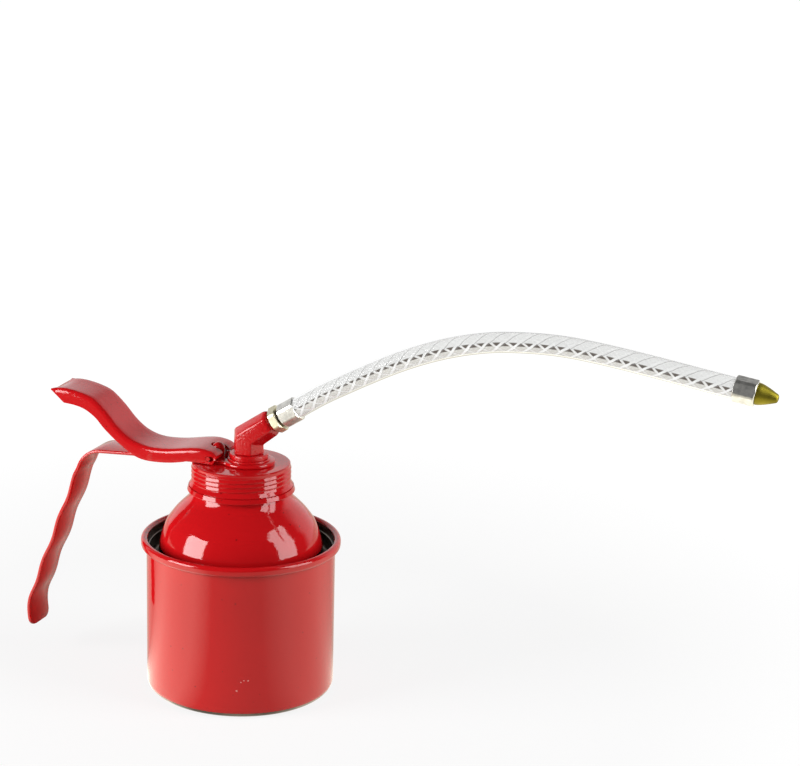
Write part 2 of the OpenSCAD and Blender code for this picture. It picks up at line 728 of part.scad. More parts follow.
// Hose: points of its middle line, counted from the near ferrule's face
hose_pts = [[0, 0], [12, 7.9], [24, 14.7], [36, 21.2], [48, 27.3], [60, 32.6], [72, 37], [84, 40.4],
    [96, 42.8], [108, 44], [120, 44.5], [132, 44.2], [144, 43.1], [156, 41.6], [168, 39.9], [180, 38.1],
    [192, 36.2], [206, 34.1]];
hose_line = [for (q = hose_pts) hose_start + q];
last = len(hose_pts) - 1;
far_dir = unit(hose_pts[last] - hose_pts[last - 1]);
far_tilt = atan2(far_dir[1], far_dir[0]);
function heading(i) = i == 0 ? arm : i == last ? far_dir : unit(hose_pts[i + 1] - hose_pts[i - 1]);

module hose() {
    sides = 12;
    pts = [for (i = [0:last], j = [0:sides - 1]) let (t = heading(i), p = hose_line[i],
        u = hose_d/2*cos(360*j/sides), v = hose_d/2*sin(360*j/sides)) [p[0] + u*t[1], v, p[1] - u*t[0]]];
    walls = [for (i = [0:last - 1], j = [0:sides - 1]) let (k = (j + 1) % sides)
        [i*sides + j, (i + 1)*sides + j, (i + 1)*sides + k, i*sides + k]];
    start = [for (j = [0:sides - 1]) j];
    end = [for (j = [0:sides - 1]) (last + 1)*sides - 1 - j];
    color(clear_hose) polyhedron(pts, concat(walls, [start, end]), convexity = 4);
}

module on_far_end(s) {
    translate([hose_line[last][0], 0, hose_line[last][1]]) rotate([0, 90 - far_tilt, 0])
        translate([0, 0, s]) children();
}

module far_ferrule() {
    color(plated) difference() {
        on_far_end(0) turned_hex(far_af, ferrule_h, 0.7, 0.5);
        on_far_end(-1) cylinder(r = 3.25, h = ferrule_h + 2);
    }
}

module nozzle() {
    color(passivated) difference() {
        union() {
            on_far_end(0) cylinder(r = 3.25, h = ferrule_h + 0.5);
            on_far_end(ferrule_h) cylinder(d1 = nozzle_d, d2 = tip_d, h = nozzle_h);
        }
        on_far_end(-1) cylinder(r = 0.7, h = 40);
        on_far_end(-1) cylinder(r = 1.75, h = ferrule_h);
    }
}

body_cup();
dome_top();
neck_gasket();
screw_cap();
strap_handle();
lever();
pivot_pin();
rod_pin();
pump_rod();
piston();
piston_seal();
return_spring();
gland_bush();
gland_seal();
pump_block();
pump_cylinder();
foot_valve();
inlet_ball();
suction_tube();
strainer();
clamp_washer();
lock_nut();
elbow();
outlet_ball();
hose_nipple();
near_ferrule();
hose();
far_ferrule();
nozzle();
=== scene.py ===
"""Dresses the flexible spout oil can. Sizes are in millimetres and become metres in each mesh."""
import math

import bmesh
import bpy
import numpy as np
from mathutils import Matrix, Vector


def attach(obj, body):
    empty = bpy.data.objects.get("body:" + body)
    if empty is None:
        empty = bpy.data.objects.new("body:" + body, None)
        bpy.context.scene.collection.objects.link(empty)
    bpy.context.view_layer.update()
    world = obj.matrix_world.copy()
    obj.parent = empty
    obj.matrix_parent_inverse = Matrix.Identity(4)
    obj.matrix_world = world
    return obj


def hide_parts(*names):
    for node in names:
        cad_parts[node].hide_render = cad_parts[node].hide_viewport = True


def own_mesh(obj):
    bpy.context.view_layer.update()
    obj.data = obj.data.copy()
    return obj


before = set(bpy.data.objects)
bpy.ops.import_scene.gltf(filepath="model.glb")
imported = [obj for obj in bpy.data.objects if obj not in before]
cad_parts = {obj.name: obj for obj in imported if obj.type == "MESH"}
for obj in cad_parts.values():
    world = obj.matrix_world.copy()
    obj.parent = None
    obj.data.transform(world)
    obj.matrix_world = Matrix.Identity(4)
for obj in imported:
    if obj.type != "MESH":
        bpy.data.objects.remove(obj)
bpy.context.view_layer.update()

MM = 0.001
BLACK, WHITE = (0, 0, 0), (1, 1, 1)

# Sizes, as in the part's source
CUP_R, SHEET, RIM_H, BASE_R = 46.5, 0.7, 78.0, 4.5
BEAD_W, BEAD_H = 3.4, 4.8
GUTTER_W, SEAT_GAP, DOME_DROP, FLANGE_H = 4.5, 0.03, 10.0, 5.0
FLANGE_R = CUP_R - SHEET - SEAT_GAP
DOME_R = FLANGE_R - SHEET - GUTTER_W
EQ_Z = RIM_H - DOME_DROP
NECK_R, NECK_WALL, NECK_H = 22.05, 0.65, 11.5
ROOT_Z = EQ_Z + math.sqrt(DOME_R ** 2 - NECK_R ** 2)
NECK_Z = ROOT_Z + NECK_H
GASKET_T, CAP_T, SKIRT_T, SKIRT_GAP = 1.5, 0.9, 0.7, 0.45
CAP_Z = NECK_Z + GASKET_T + CAP_T
PITCH, CAP_THREAD, NECK_THREAD, THREAD_DROP = 4.4, 1.3, 1.15, 4.2
SKIRT_R = NECK_R + SKIRT_GAP
THREAD_Z = CAP_Z - THREAD_DROP
PUMP_X, SPOUT_X = -12.2, 4.0
STRAP_T, STRAP_W, EYE_R = 1.8, 20.0, 12.8
PIVOT_BACK, PIVOT_UP, HOLE_R = 31.8, 0.35, 1.3
PIVOT_X, PIVOT_Z = PUMP_X - PIVOT_BACK, CAP_Z + PIVOT_UP
LEVER_T, ROD_R, SQUEEZE = 1.2, 3.25, 14
WASHER_T, NUT_H, ELBOW_RISE = 1.0, 2.4, 8.75
FOOT_Z = CAP_Z + STRAP_T + WASHER_T + NUT_H
CORNER_Z = FOOT_Z + ELBOW_RISE
ARM_TILT = 33.1
ARM = (math.cos(math.radians(ARM_TILT)), math.sin(math.radians(ARM_TILT)))
ARM_LEN, FERRULE_H, BORE_R = 15.2, 9.8, 3.25
# lengths along the arm at which the nipple with its thin hexagon and the near ferrule start
HEX_S = ARM_LEN + 0.2
FAR_S = HEX_S + 5.0 + 0.6
HOSE_START = (SPOUT_X + (FAR_S + FERRULE_H) * ARM[0], CORNER_Z + (FAR_S + FERRULE_H) * ARM[1])
HOSE_D = 10.0
HOSE_PTS = [(0, 0), (12, 7.9), (24, 14.7), (36, 21.2), (48, 27.3), (60, 32.6), (72, 37), (84, 40.4),
            (96, 42.8), (108, 44), (120, 44.5), (132, 44.2), (144, 43.1), (156, 41.6), (168, 39.9),
            (180, 38.1), (192, 36.2), (206, 34.1)]


# Meshes
def add_object(name, data):
    obj = bpy.data.objects.new(name, data)
    bpy.context.scene.collection.objects.link(obj)
    return obj


def shade_smooth(mesh, sharp):
    """Smooth shading, apart from edges where two faces turn by more than sharp degrees."""
    mesh.polygons.foreach_set("use_smooth", [True] * len(mesh.polygons))
    mesh.set_sharp_from_angle(angle=math.radians(sharp))


def new_object(name, verts, faces, sharp=30, smooth=True):
    mesh = bpy.data.meshes.new(name)
    mesh.from_pydata([tuple(c * MM for c in v) for v in verts], [], faces)
    mesh.validate()
    mesh.update()
    if smooth:
        shade_smooth(mesh, sharp)
    return add_object(name, mesh)


def grid(rings, loop=False, caps=False):
    """Vertices and faces of a surface through closed rings of equal length; loop joins last and first."""
    n, m = len(rings), len(rings[0])
    verts = [tuple(p) for ring in rings for p in ring]
    faces = []
    for i in range(n if loop else n - 1):
        k = (i + 1) % n
        for j in range(m):
            h = (j + 1) % m
            faces.append((i * m + j, i * m + h, k * m + h, k * m + j))
    if caps:
        faces.append(tuple(range(m - 1, -1, -1)))
        faces.append(tuple(range((n - 1) * m, n * m)))
    return verts, faces


def arc(cx, cz, r, a0, a1, n):
    """Points of an arc in radius and height, angles in degrees, ends included."""
    pts = []
    for i in range(n + 1):
        a = math.radians(a0 + (a1 - a0) * i / n)
        pts.append((cx + r * math.cos(a), cz + r * math.sin(a)))
    return pts


def lathe(name, profile, steps=144, limit=None, shape=None, sharp=30, place=None, loop=True):
    """Turns a profile of (radius, height) points.

    limit(angle) caps the radius, shape(radius, height, angle) moves a point in the profile's plane,
    and place(point) moves the turned piece.
    """
    rings = []
    for r, z in profile:
        ring = []
        for j in range(steps):
            a = 2 * math.pi * j / steps
            rr, zz = r, z
            if limit:
                rr = min(rr, limit(a))
            if shape:
                rr, zz = shape(r, z, a)
            ring.append((rr * math.cos(a), rr * math.sin(a), zz))
        rings.append(ring)
    if place:
        rings = [[place(p) for p in ring] for ring in rings]
    verts, faces = grid(rings, loop=loop)
    obj = new_object(name, verts, [f[::-1] for f in faces], sharp)
    weld(obj)
    return obj


def weld(obj):
    """Merges the points that meet on an axis and turns the faces outwards."""
    bm = bmesh.new()
    bm.from_mesh(obj.data)
    bmesh.ops.remove_doubles(bm, verts=bm.verts, dist=1e-7)
    bmesh.ops.dissolve_degenerate(bm, dist=1e-7, edges=bm.edges)
    bmesh.ops.recalc_face_normals(bm, faces=bm.faces)
    bm.to_mesh(obj.data)
    bm.free()
    obj.data.update()


def apply_modifiers(obj):
    deps = bpy.context.evaluated_depsgraph_get()
    mesh = bpy.data.meshes.new_from_object(obj.evaluated_get(deps))
    old = obj.data
    obj.modifiers.clear()
    obj.data = mesh
    bpy.data.meshes.remove(old)


def boolean(obj, operation, others):
    """Joins others to obj (UNION) or cuts them from it (DIFFERENCE), and removes them."""
    for other in others:
        mod = obj.modifiers.new("boolean", "BOOLEAN")
        mod.operation = operation
        mod.solver = "EXACT"
        mod.object = other
    apply_modifiers(obj)
    for other in others:
        bpy.data.objects.remove(other)


def block(name, low, high):
    x0, y0, z0 = low
    x1, y1, z1 = high
    verts = [(x, y, z) for x in (x0, x1) for y in (y0, y1) for z in (z0, z1)]
    faces = [(0, 1, 3, 2), (4, 6, 7, 5), (0, 4, 5, 1), (2, 3, 7, 6), (0, 2, 6, 4), (1, 5, 7, 3)]
    return new_object(name, verts, faces, smooth=False)


def rod_y(name, x, z, r, half, n=32):
    """Cylinder across the part."""
    rings = [[(x + r * math.cos(2 * math.pi * j / n), y, z + r * math.sin(2 * math.pi * j / n))
              for j in range(n)] for y in (-half, half)]
    verts, faces = grid(rings, caps=True)
    obj = new_object(name, verts, faces)
    weld(obj)
    return obj


def catmull(pts, n):
    """A smooth curve through pts, with n points for each stretch between two of them."""
    p = [np.array(q, float) for q in pts]
    curve = []
    for i in range(len(p) - 1):
        a, b, c, d = p[max(i - 1, 0)], p[i], p[i + 1], p[min(i + 2, len(p) - 1)]
        for j in range(n):
            t = j / n
            curve.append(0.5 * (2 * b + (c - a) * t + (2 * a - 5 * b + 4 * c - d) * t * t
                                + (3 * b - a - 3 * c + d) * t ** 3))
    curve.append(p[-1])
    return curve


def smooth_step(t):
    """An eased rise from 0 to 1."""
    return 0.0 if t <= 0 else 1.0 if t >= 1 else (1 - math.cos(math.pi * t)) / 2


def smooth_linear(t):
    """A straight rise from 0 to 1 whose two ends are eased a little."""
    return 0.85 * t + 0.15 * smooth_step(t)


# Shader nodes
def place_of(tree, kind="Object"):
    """Where a shaded point lies, in the object's own frame; for a world, Generated is its direction."""
    return tree.nodes.new("ShaderNodeTexCoord").outputs[kind]


def noise(tree, scale, detail=3):
    node = tree.nodes.new("ShaderNodeTexNoise")
    node.inputs["Scale"].default_value = scale
    node.inputs["Detail"].default_value = detail
    tree.links.new(place_of(tree), node.inputs["Vector"])
    return node.outputs["Fac"]


def ramp(tree, source, stops):
    node = tree.nodes.new("ShaderNodeValToRGB")
    first, last = node.color_ramp.elements
    first.position, first.color = stops[0][0], (*stops[0][1], 1)
    last.position, last.color = stops[-1][0], (*stops[-1][1], 1)
    for position, colour in stops[1:-1]:
        node.color_ramp.elements.new(position).color = (*colour, 1)
    tree.links.new(source, node.inputs["Fac"])
    return node.outputs["Color"]


def drift(tree, scale, detail, low, high):
    """A colour that drifts between low and high."""
    return ramp(tree, noise(tree, scale, detail), [(0.3, low), (0.7, high)])


def bump(tree, height, strength, distance):
    node = tree.nodes.new("ShaderNodeBump")
    node.inputs["Strength"].default_value = strength
    node.inputs["Distance"].default_value = distance
    tree.links.new(height, node.inputs["Height"])
    return node


def math_node(tree, op, a, b=None, clamp=False):
    node = tree.nodes.new("ShaderNodeMath")
    node.operation = op
    node.use_clamp = clamp
    for socket, value in zip(node.inputs, (a, b)):
        if value is None:
            continue
        if isinstance(value, (int, float)):
            socket.default_value = value
        else:
            tree.links.new(value, socket)
    return node.outputs[0]


def vector_math(tree, op, vector, other=None):
    node = tree.nodes.new("ShaderNodeVectorMath")
    node.operation = op
    tree.links.new(vector, node.inputs[0])
    if other:
        node.inputs[1].default_value = other
    return node


def parts_of(tree, vector):
    """The X, Y and Z of a vector."""
    node = tree.nodes.new("ShaderNodeSeparateXYZ")
    tree.links.new(vector, node.inputs[0])
    return node.outputs


def map_range(tree, value, start, full, low, high):
    """Goes from low to high while value goes from start to full."""
    node = tree.nodes.new("ShaderNodeMapRange")
    for name, number in (("From Min", start), ("From Max", full), ("To Min", low), ("To Max", high)):
        node.inputs[name].default_value = number
    tree.links.new(value, node.inputs["Value"])
    return node.outputs[0]


def mixed(tree, factor, a, b):
    """Colour a where factor is 0 and b where it is 1."""
    node = tree.nodes.new("ShaderNodeMix")
    node.data_type = "RGBA"
    tree.links.new(factor, node.inputs["Factor"])
    for socket, value in ((node.inputs[6], a), (node.inputs[7], b)):
        if isinstance(value, tuple):
            socket.default_value = (*value, 1)
        else:
            tree.links.new(value, socket)
    return node.outputs[2]


# Materials
RED, SPECK, NICK = (0.56, 0.0055, 0.008), (0.16, 0.004, 0.005), (0.80, 0.30, 0.27)
# painted light: a brighter red for the strap's face toward the can, standing in for light that the can keeps
# from it
PAINTED_LIGHT_RED = (0.92, 0.008, 0.010)
# a few spots low on the cup's near side: x, y, z and radius
NICKS = [(17.4, -43.1, 14.8, 0.42), (19.4, -42.3, 19.4, 0.28), (20.6, -41.7, 20.1, 0.30),
         (22.4, -40.8, 20.0, 0.42)]


def material(name, base, rough, metallic=0.0, ior=1.5, spec=0.5):
    mat = bpy.data.materials.new(name)
    mat.use_nodes = True
    bsdf = mat.node_tree.nodes["Principled BSDF"]
    bsdf.inputs["Base Color"].default_value = (*base, 1)
    bsdf.inputs["Roughness"].default_value = rough
    bsdf.inputs["Metallic"].default_value = metallic
    bsdf.inputs["IOR"].default_value = ior
    bsdf.inputs["Specular IOR Level"].default_value = spec
    return mat, mat.node_tree, bsdf


def enamel(name, peel_scale=420, peel=0.06, rough=0.07, red=RED, spec=0.46):
    """Sprayed enamel: its tone drifts a little, the skin has orange peel, and rare specks lie in it."""
    mat, tree, bsdf = material(name, RED, rough, spec=spec)
    base = drift(tree, 14, 2, tuple(c * 0.94 for c in red), tuple(c * 1.05 for c in red))
    specks = ramp(tree, noise(tree, 520, 1), [(0.77, BLACK), (0.80, WHITE)])
    tree.links.new(mixed(tree, specks, base, SPECK), bsdf.inputs["Base Color"])
    skin = bump(tree, noise(tree, peel_scale, 2), peel, 0.0006)
    tree.links.new(skin.outputs["Normal"], bsdf.inputs["Normal"])
    return mat


def nicks(mat, places):
    """Small pale nicks in the enamel at places (x, y, z, radius)."""
    tree = mat.node_tree
    base = tree.nodes["Principled BSDF"].inputs["Base Color"]
    coat = base.links[0].from_socket
    spot = None
    for x, y, z, r in places:
        distance = vector_math(tree, "DISTANCE", place_of(tree), (x * MM, y * MM, z * MM)).outputs["Value"]
        near = math_node(tree, "SUBTRACT", r * MM, distance)
        spot = near if spot is None else math_node(tree, "MAXIMUM", spot, near)
    ragged = math_node(tree, "MULTIPLY", math_node(tree, "SUBTRACT", noise(tree, 1800, 2), 0.5), 0.0009)
    inside = math_node(tree, "GREATER_THAN", math_node(tree, "ADD", spot, ragged), 0.0)
    tree.links.new(mixed(tree, inside, coat, NICK), base)


def crown(mat, steep):
    """Lets the enamel's skin fall off towards both long edges of a strip; steep is its slope per metre."""
    tree = mat.node_tree
    peel = next(node for node in tree.nodes if node.type == "BUMP")
    across = parts_of(tree, place_of(tree))[1]
    square = math_node(tree, "MULTIPLY", across, across)
    fall = bump(tree, math_node(tree, "MULTIPLY", square, -steep / 2), 1.0, 1.0)
    tree.links.new(fall.outputs["Normal"], peel.inputs["Normal"])


def metal(name, base, rough, wear=(0.85, 1.1), grain=120, relief=0.08):
    """Bare metal: its tone drifts between base times the two wear factors, and its skin is finely uneven."""
    mat, tree, bsdf = material(name, base, rough, metallic=1.0)
    low = tuple(c * wear[0] for c in base)
    high = tuple(min(c * wear[1], 1) for c in base)
    tree.links.new(drift(tree, grain, 4, low, high), bsdf.inputs["Base Color"])
    skin = bump(tree, noise(tree, 900, 2), relief, 0.0002)
    tree.links.new(skin.outputs["Normal"], bsdf.inputs["Normal"])
    return mat


def rubber_material():
    mat, tree, bsdf = material("rubber", (0.02, 0.02, 0.02), 0.6)
    tree.links.new(drift(tree, 200, 3, (0.015,) * 3, (0.035,) * 3), bsdf.inputs["Base Color"])
    return mat


enamel_can = enamel("enamel_can")
nicks(enamel_can, NICKS)
enamel_handle = enamel("enamel_handle", 380, 0.10, 0.10)
# the strap's inner face: brighter red as painted light, with a crowned skin
enamel_strap_painted_light = enamel("enamel_strap_painted_light", 380, 0.10, 0.10, red=PAINTED_LIGHT_RED, spec=0.10)
crown(enamel_strap_painted_light, 16)
enamel_fitting = enamel("enamel_fitting", 800, 0.42, 0.18)
plated = metal("zinc_plate", (0.86, 0.85, 0.81), 0.36, (0.72, 1.1), 420, 0.35)
turned = metal("turned_steel", (0.55, 0.55, 0.55), 0.35)
brass = metal("pale_brass", (0.84, 0.79, 0.60), 0.40, (0.8, 1.12), 260, 0.2)
nozzle_brass = metal("nozzle_brass", (0.245, 0.205, 0.021), 0.50, (0.7, 1.5), 160, 0.15)
# dark steel: painted shade in the gap at the nipple; the cup's inside and the dome's gutter get it too
dark_steel_and_shade = metal("dark_steel_and_painted_shade", (0.13, 0.105, 0.09), 0.30, (0.4, 2.0), 60, 0.3)
rubber = rubber_material()


def paint(obj, mat):
    obj.data.materials.clear()
    obj.data.materials.append(mat)


def second_coat(obj, mat, test):
    """Gives the faces whose middle passes test(radius, height) a second material."""
    obj.data.materials.append(mat)
    for poly in obj.data.polygons:
        x, y, z = poly.center / MM
        if test(math.hypot(x, y), z):
            poly.material_index = 1


def dress(node, mat):
    """Gives a CAD node that keeps its own shape a better material."""
    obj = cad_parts[node]
    for slot in obj.material_slots:
        slot.link = "OBJECT"
        slot.material = mat
    if not obj.material_slots:
        obj.data.materials.append(mat)


def stand_for(obj, body, slot, *nodes):
    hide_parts(*nodes)
    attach(obj, body)


# Can
def cup_profile():
    """The cup's outside up to the rolled bead, the bead with its free edge, and the inside down again."""
    bead_r = BEAD_W / 2
    low, high = RIM_H - BEAD_H + bead_r, RIM_H - bead_r
    cx = CUP_R - SHEET + bead_r
    free_edge = 180 + 38
    outer = [(0, 0)] + [(r, 0) for r in (15, 30, 38)]
    outer += arc(CUP_R - BASE_R, BASE_R, BASE_R, -90, 0, 12)
    outer += [(CUP_R, z) for z in (12, 25, 40, 55, 68, low - 0.9)] + [(CUP_R, high - 0.6)]
    curl_in = arc(cx, high, bead_r - SHEET, 150, 0, 12) + arc(cx, low, bead_r - SHEET, 0, -140, 12)
    curl_out = arc(cx, low, bead_r, free_edge, 360, 14) + arc(cx, high, bead_r, 0, 180, 16)
    inner = [(CUP_R - SHEET, z) for z in (high - 1.5, 65, 50, 35, 20)]
    inner += arc(CUP_R - BASE_R, BASE_R, BASE_R - SHEET, 0, -90, 10)
    return outer + curl_in + curl_out + inner + [(30, SHEET), (0, SHEET)]


cup = lathe("cup", cup_profile(), steps=192, loop=False, sharp=40)
paint(cup, enamel_can)
# the cup's inside is given the dark steel
second_coat(cup, dark_steel_and_shade, lambda r, z: SHEET < z < RIM_H - 1.2 and r < CUP_R - SHEET / 2)
stand_for(cup, "reservoir", "can_enamel", "body_cup")

# the drawn sheet runs from neck to dome in a hollow curve: radius, and height above the neck's root
SHOULDER = [(NECK_R, 2.4), (22.9, 1.6), (23.4, 0.9), (23.75, 0), (24.1, -1.2), (24.7, -2.4),
            (25.45, -3.6), (26.65, -5.1), (28.2, -6.6), (29.75, -8.1), (31.25, -9.6), (32.7, -11.2),
            (33.95, -12.8), (35.15, -14.4)]
SHOULDER_DEPTH, SHOULDER_SHEET = 16.0, 1.7


def wave(z, a):
    """The rolled thread: 1 on its crest, 0 in its root."""
    return (1 + math.cos(2 * math.pi * (z - THREAD_Z) / PITCH - a)) / 2


def dome_profile():
    """From the neck's mouth down the outside, through the gutter and its flange, and up the inside."""
    gutter_x = (DOME_R - SHEET + FLANGE_R) / 2
    gutter_r = (FLANGE_R - DOME_R + SHEET) / 2
    bore = NECK_R - NECK_WALL
    top = EQ_Z + FLANGE_H
    n = 40
    pts = [(bore, NECK_Z), (NECK_R, NECK_Z)]
    pts += [(NECK_R, NECK_Z + (ROOT_Z + 2.5 - NECK_Z) * i / n) for i in range(1, n + 1)]
    pts += [(r, ROOT_Z + z) for r, z in catmull(SHOULDER, 5)]
    sphere_top = math.degrees(math.asin((ROOT_Z - SHOULDER_DEPTH - EQ_Z) / DOME_R))
    pts += arc(0, EQ_Z, DOME_R, sphere_top, 0, 30)
    pts += arc(gutter_x, EQ_Z, gutter_r - SHEET, 180, 360, 16)
    pts += [(FLANGE_R - SHEET, top - 0.1), (FLANGE_R - SHEET / 2, top + 0.1), (FLANGE_R, top)]
    pts += arc(gutter_x, EQ_Z, gutter_r, 360, 180, 16)
    # the inside is moved in to leave the sheet its thickness under the hollow shoulder
    bore_angle = math.degrees(math.acos(bore / (DOME_R - SHEET)))
    for r, z in arc(0, EQ_Z, 1, 0, bore_angle, 40):
        inner_r = DOME_R - SHEET - SHOULDER_SHEET * smooth_step((z - EQ_Z - 0.35) / 0.3)
        pts.append((max(r * inner_r, bore), EQ_Z + (z - EQ_Z) * inner_r))
    return pts


def dome_shape(r, z, a):
    """Rolls the thread into the neck's outside; it fades out towards both of its ends."""
    if abs(r - NECK_R) < 0.01 and z < NECK_Z - 0.1:
        low, high = ROOT_Z + 1.2, NECK_Z - 1.5
        return r + NECK_THREAD * smooth_step(min(z - low, high - z) / (PITCH / 2)) * wave(z, a), z
    return r, z


dome = lathe("dome", dome_profile(), steps=192, shape=dome_shape, sharp=40)
paint(dome, enamel_can)
# the gutter and its flange are given the dark steel
second_coat(dome, dark_steel_and_shade, lambda r, z: r > DOME_R - 0.4 and z < EQ_Z + FLANGE_H + 1)
stand_for(dome, "reservoir", "can_enamel", "dome_top")

# Cap
LIP_Z = ROOT_Z
FLARE_Z = LIP_Z + 2.35
CAP_HIGH = CAP_Z - 2.0
OUT_R = SKIRT_R + SKIRT_T
# how far the top edge, the roots between the bands and the lip stand out; height of the band at the lip
TOP_GROW, ROOT_GROW, LIP_GROW, BAND_H = 0.85, 0.82, 3.2, 2.4
# each band's cone takes this part of its height, and the step to the next one takes the rest
CONE_PART, BAND_PHASE = 0.64, 0.4
GROOVE_H, GROOVE_DEPTH = 0.35, 1.4


def cap_grow(z, a):
    """How far the cap's inside stands out from its plain skirt: the thread, and the flare at the lip."""
    body = CAP_THREAD * smooth_step((CAP_HIGH - z) / (PITCH / 3)) * wave(z, a) ** 0.65
    flare = LIP_GROW * max(0, FLARE_Z - z) / (FLARE_Z - LIP_Z)
    return max(body, flare) + 0.12 * math.exp(-abs(body - flare) / 0.2) * min(1, flare)


def ridge(z, a):
    """Two cone-shaped bands to each turn of the thread: 1 at a band's lower edge, 0 at its upper one."""
    up = (2 * ((z - THREAD_Z) / PITCH - a / (2 * math.pi)) + BAND_PHASE) % 1
    if up < CONE_PART:
        return 1 - smooth_linear(up / CONE_PART)
    return smooth_step((up - CONE_PART) / (1 - CONE_PART))


def wall_grow(z, a):
    """How far the cap's outside stands out from its plain skirt."""
    up = z - LIP_Z
    if up < BAND_H:
        low = 0.35 * (1 - smooth_step(up / 0.35 + 0.5))
        return LIP_GROW - low - 0.27 * max(0, up - 0.2)
    if up < BAND_H + GROOVE_H:
        return LIP_GROW - GROOVE_DEPTH
    body = ROOT_GROW + (CAP_THREAD - ROOT_GROW) * ridge(z, a)
    body = TOP_GROW + (body - TOP_GROW) * smooth_step((CAP_Z - 1.4 - z) / 0.8)
    return max(body, 2.3 - 0.9 * (up - BAND_H - GROOVE_H) / 1.3)


def cap_profile():
    """From the middle of the top down the outside to the lip, and up the inside."""
    pts = [(0.01, CAP_Z), (8, CAP_Z), (16, CAP_Z), (20, CAP_Z)]
    pts += arc(OUT_R + TOP_GROW - 0.9, CAP_Z - 1.2, 1.2, 90, 40, 6)
    pts += [(OUT_R + TOP_GROW - 0.02, CAP_Z - 1.0)]
    n = 110
    wall = [CAP_Z - 1.3 + (LIP_Z + 0.25 - CAP_Z + 1.3) * i / n for i in range(n + 1)]
    lip = [LIP_Z + 4.2 - 0.1 * i for i in range(42)]
    pts += [(OUT_R, z) for z in [z for z in wall if z > lip[0] + 0.05] + lip]
    pts += [(OUT_R - 0.35, LIP_Z)]
    pts += [(SKIRT_R, z) for z in reversed(wall)]
    pts += arc(SKIRT_R - 0.5, CAP_Z - CAP_T - 0.5, 0.5, 0, 90, 5)
    pts += [(12, CAP_Z - CAP_T), (0.01, CAP_Z - CAP_T)]
    return pts


def cap_shape(r, z, a):
    if z < CAP_Z - 1.25 and abs(r - OUT_R) < 0.01:
        return r + wall_grow(z, a), z
    if z < CAP_Z - 1.25 and r >= SKIRT_R - 0.01:
        return r + max(0, cap_grow(z, a)), z
    return r, z


cap = lathe("cap", cap_profile(), steps=192, shape=cap_shape, sharp=45, loop=False)
paint(cap, enamel_can)
stand_for(cap, "pump_head", "can_enamel", "screw_cap")

# Strap
FLAT_LEN, SLOPE, REACH = 30.0, 3.4, 85.6
BEND_R, GRIP_ANGLE, GRIP_LEN = 14.0, 68.5, 95.5
WAVE_A, WAVE_LEN, WAVE_START = 0.5, 26.0, 0.73
END_TURN, END_LIFT, END_R = 20.0, 5.3, 4.5
EDGE_R, CHEEK_R, CHEEK_HALF = 0.8, 2.6, 10.0


def strap_line():
    """Middle line of the strap in X and Z, from the eye's end to the grip's end."""
    tan = math.tan(math.radians(SLOPE))
    plate_z = CAP_Z + STRAP_T / 2
    slope_x = SPOUT_X - FLAT_LEN
    turn = GRIP_ANGLE - SLOPE
    cs, sn = math.cos(math.radians(SLOPE)), math.sin(math.radians(SLOPE))
    cg, sg = math.cos(math.radians(GRIP_ANGLE)), math.sin(math.radians(GRIP_ANGLE))
    # the corner between plate and grip, the two ends of the bend that rounds it, and the bend's centre
    cx, cz = SPOUT_X - REACH, plate_z - (REACH - FLAT_LEN) * tan
    t = BEND_R * math.tan(math.radians(turn / 2))
    ax, az = cx + t * cs, cz + t * sn
    bx, bz = cx - t * cg, cz - t * sg
    ox, oz = ax + BEND_R * sn, az - BEND_R * cs
    pts = []
    # eye: close stations near its end
    for i in range(30):
        th = math.radians(3 + 87 * i / 30)
        pts.append((SPOUT_X + EYE_R * math.cos(th), plate_z))
    for i in range(1, 40):
        pts.append((SPOUT_X - FLAT_LEN * i / 40, plate_z))
    # soft change from the flat to the slope
    for i in range(7):
        s = (i - 3) * 0.8
        pts.append((slope_x - s, plate_z - tan * 0.5 * (s + 2.4) ** 2 / 4.8))
    for i in range(1, 28):
        f = i / 28
        x = slope_x - 2.4 + (ax - slope_x + 2.4) * f
        pts.append((x, plate_z - (slope_x - x) * tan))
    for i in range(25):
        a = math.radians(90 + SLOPE + turn * i / 24)
        pts.append((ox + BEND_R * math.cos(a), oz + BEND_R * math.sin(a)))
    # grip: finger waves, a foot that turns outwards, and stations that grow close at its end
    n = 150
    for i in range(1, n + 1):
        f = i / n
        s = GRIP_LEN * f
        if f >= 0.9:
            s = GRIP_LEN * (0.9 + 0.1 * math.sin((f - 0.9) * 10 * math.pi / 2))
        d = WAVE_A * smooth_step(s / 6) * math.cos(2 * math.pi * (s - WAVE_START * WAVE_LEN) / WAVE_LEN)
        d += END_LIFT * (max(0, s - GRIP_LEN + END_TURN) / END_TURN) ** 2
        pts.append((bx - s * cg + d * sg, bz - s * sg - d * cg))
    return pts


def strap_half(x, z, z_end):
    """Half width of the strap at a point of its middle line."""
    half = STRAP_W / 2
    if x > SPOUT_X - math.sqrt(EYE_R ** 2 - half ** 2):
        return math.sqrt(max(EYE_R ** 2 - (x - SPOUT_X) ** 2, 0.05))
    up = z - z_end
    if x < -60 and up < END_R:
        return half - END_R + math.sqrt(max(END_R ** 2 - (END_R - up) ** 2, 0))
    return half


def strap_mesh():
    line = strap_line()
    z_end = line[-1][1]
    h = STRAP_T / 2
    rings = []
    for i, (x, z) in enumerate(line):
        p, q = line[max(i - 1, 0)], line[min(i + 1, len(line) - 1)]
        tx, tz = q[0] - p[0], q[1] - p[1]
        length = math.hypot(tx, tz)
        nx, nz = tz / length, -tx / length
        w = strap_half(x, z, z_end)
        e = min(EDGE_R, w * 0.9)
        ring = []
        for sy, sn, a0 in ((1, 1, 0), (-1, 1, 90), (-1, -1, 180), (1, -1, 270)):
            for j in range(4):
                a = math.radians(a0 + 30 * j)
                ring.append((sy * (w - e) + e * math.cos(a), sn * (h - EDGE_R) + EDGE_R * math.sin(a)))
        rings.append([(x + nx * v, y, z + nz * v) for y, v in ring])
    verts, faces = grid(rings, caps=True)
    obj = new_object("strap", verts, faces, sharp=50)
    weld(obj)
    return obj


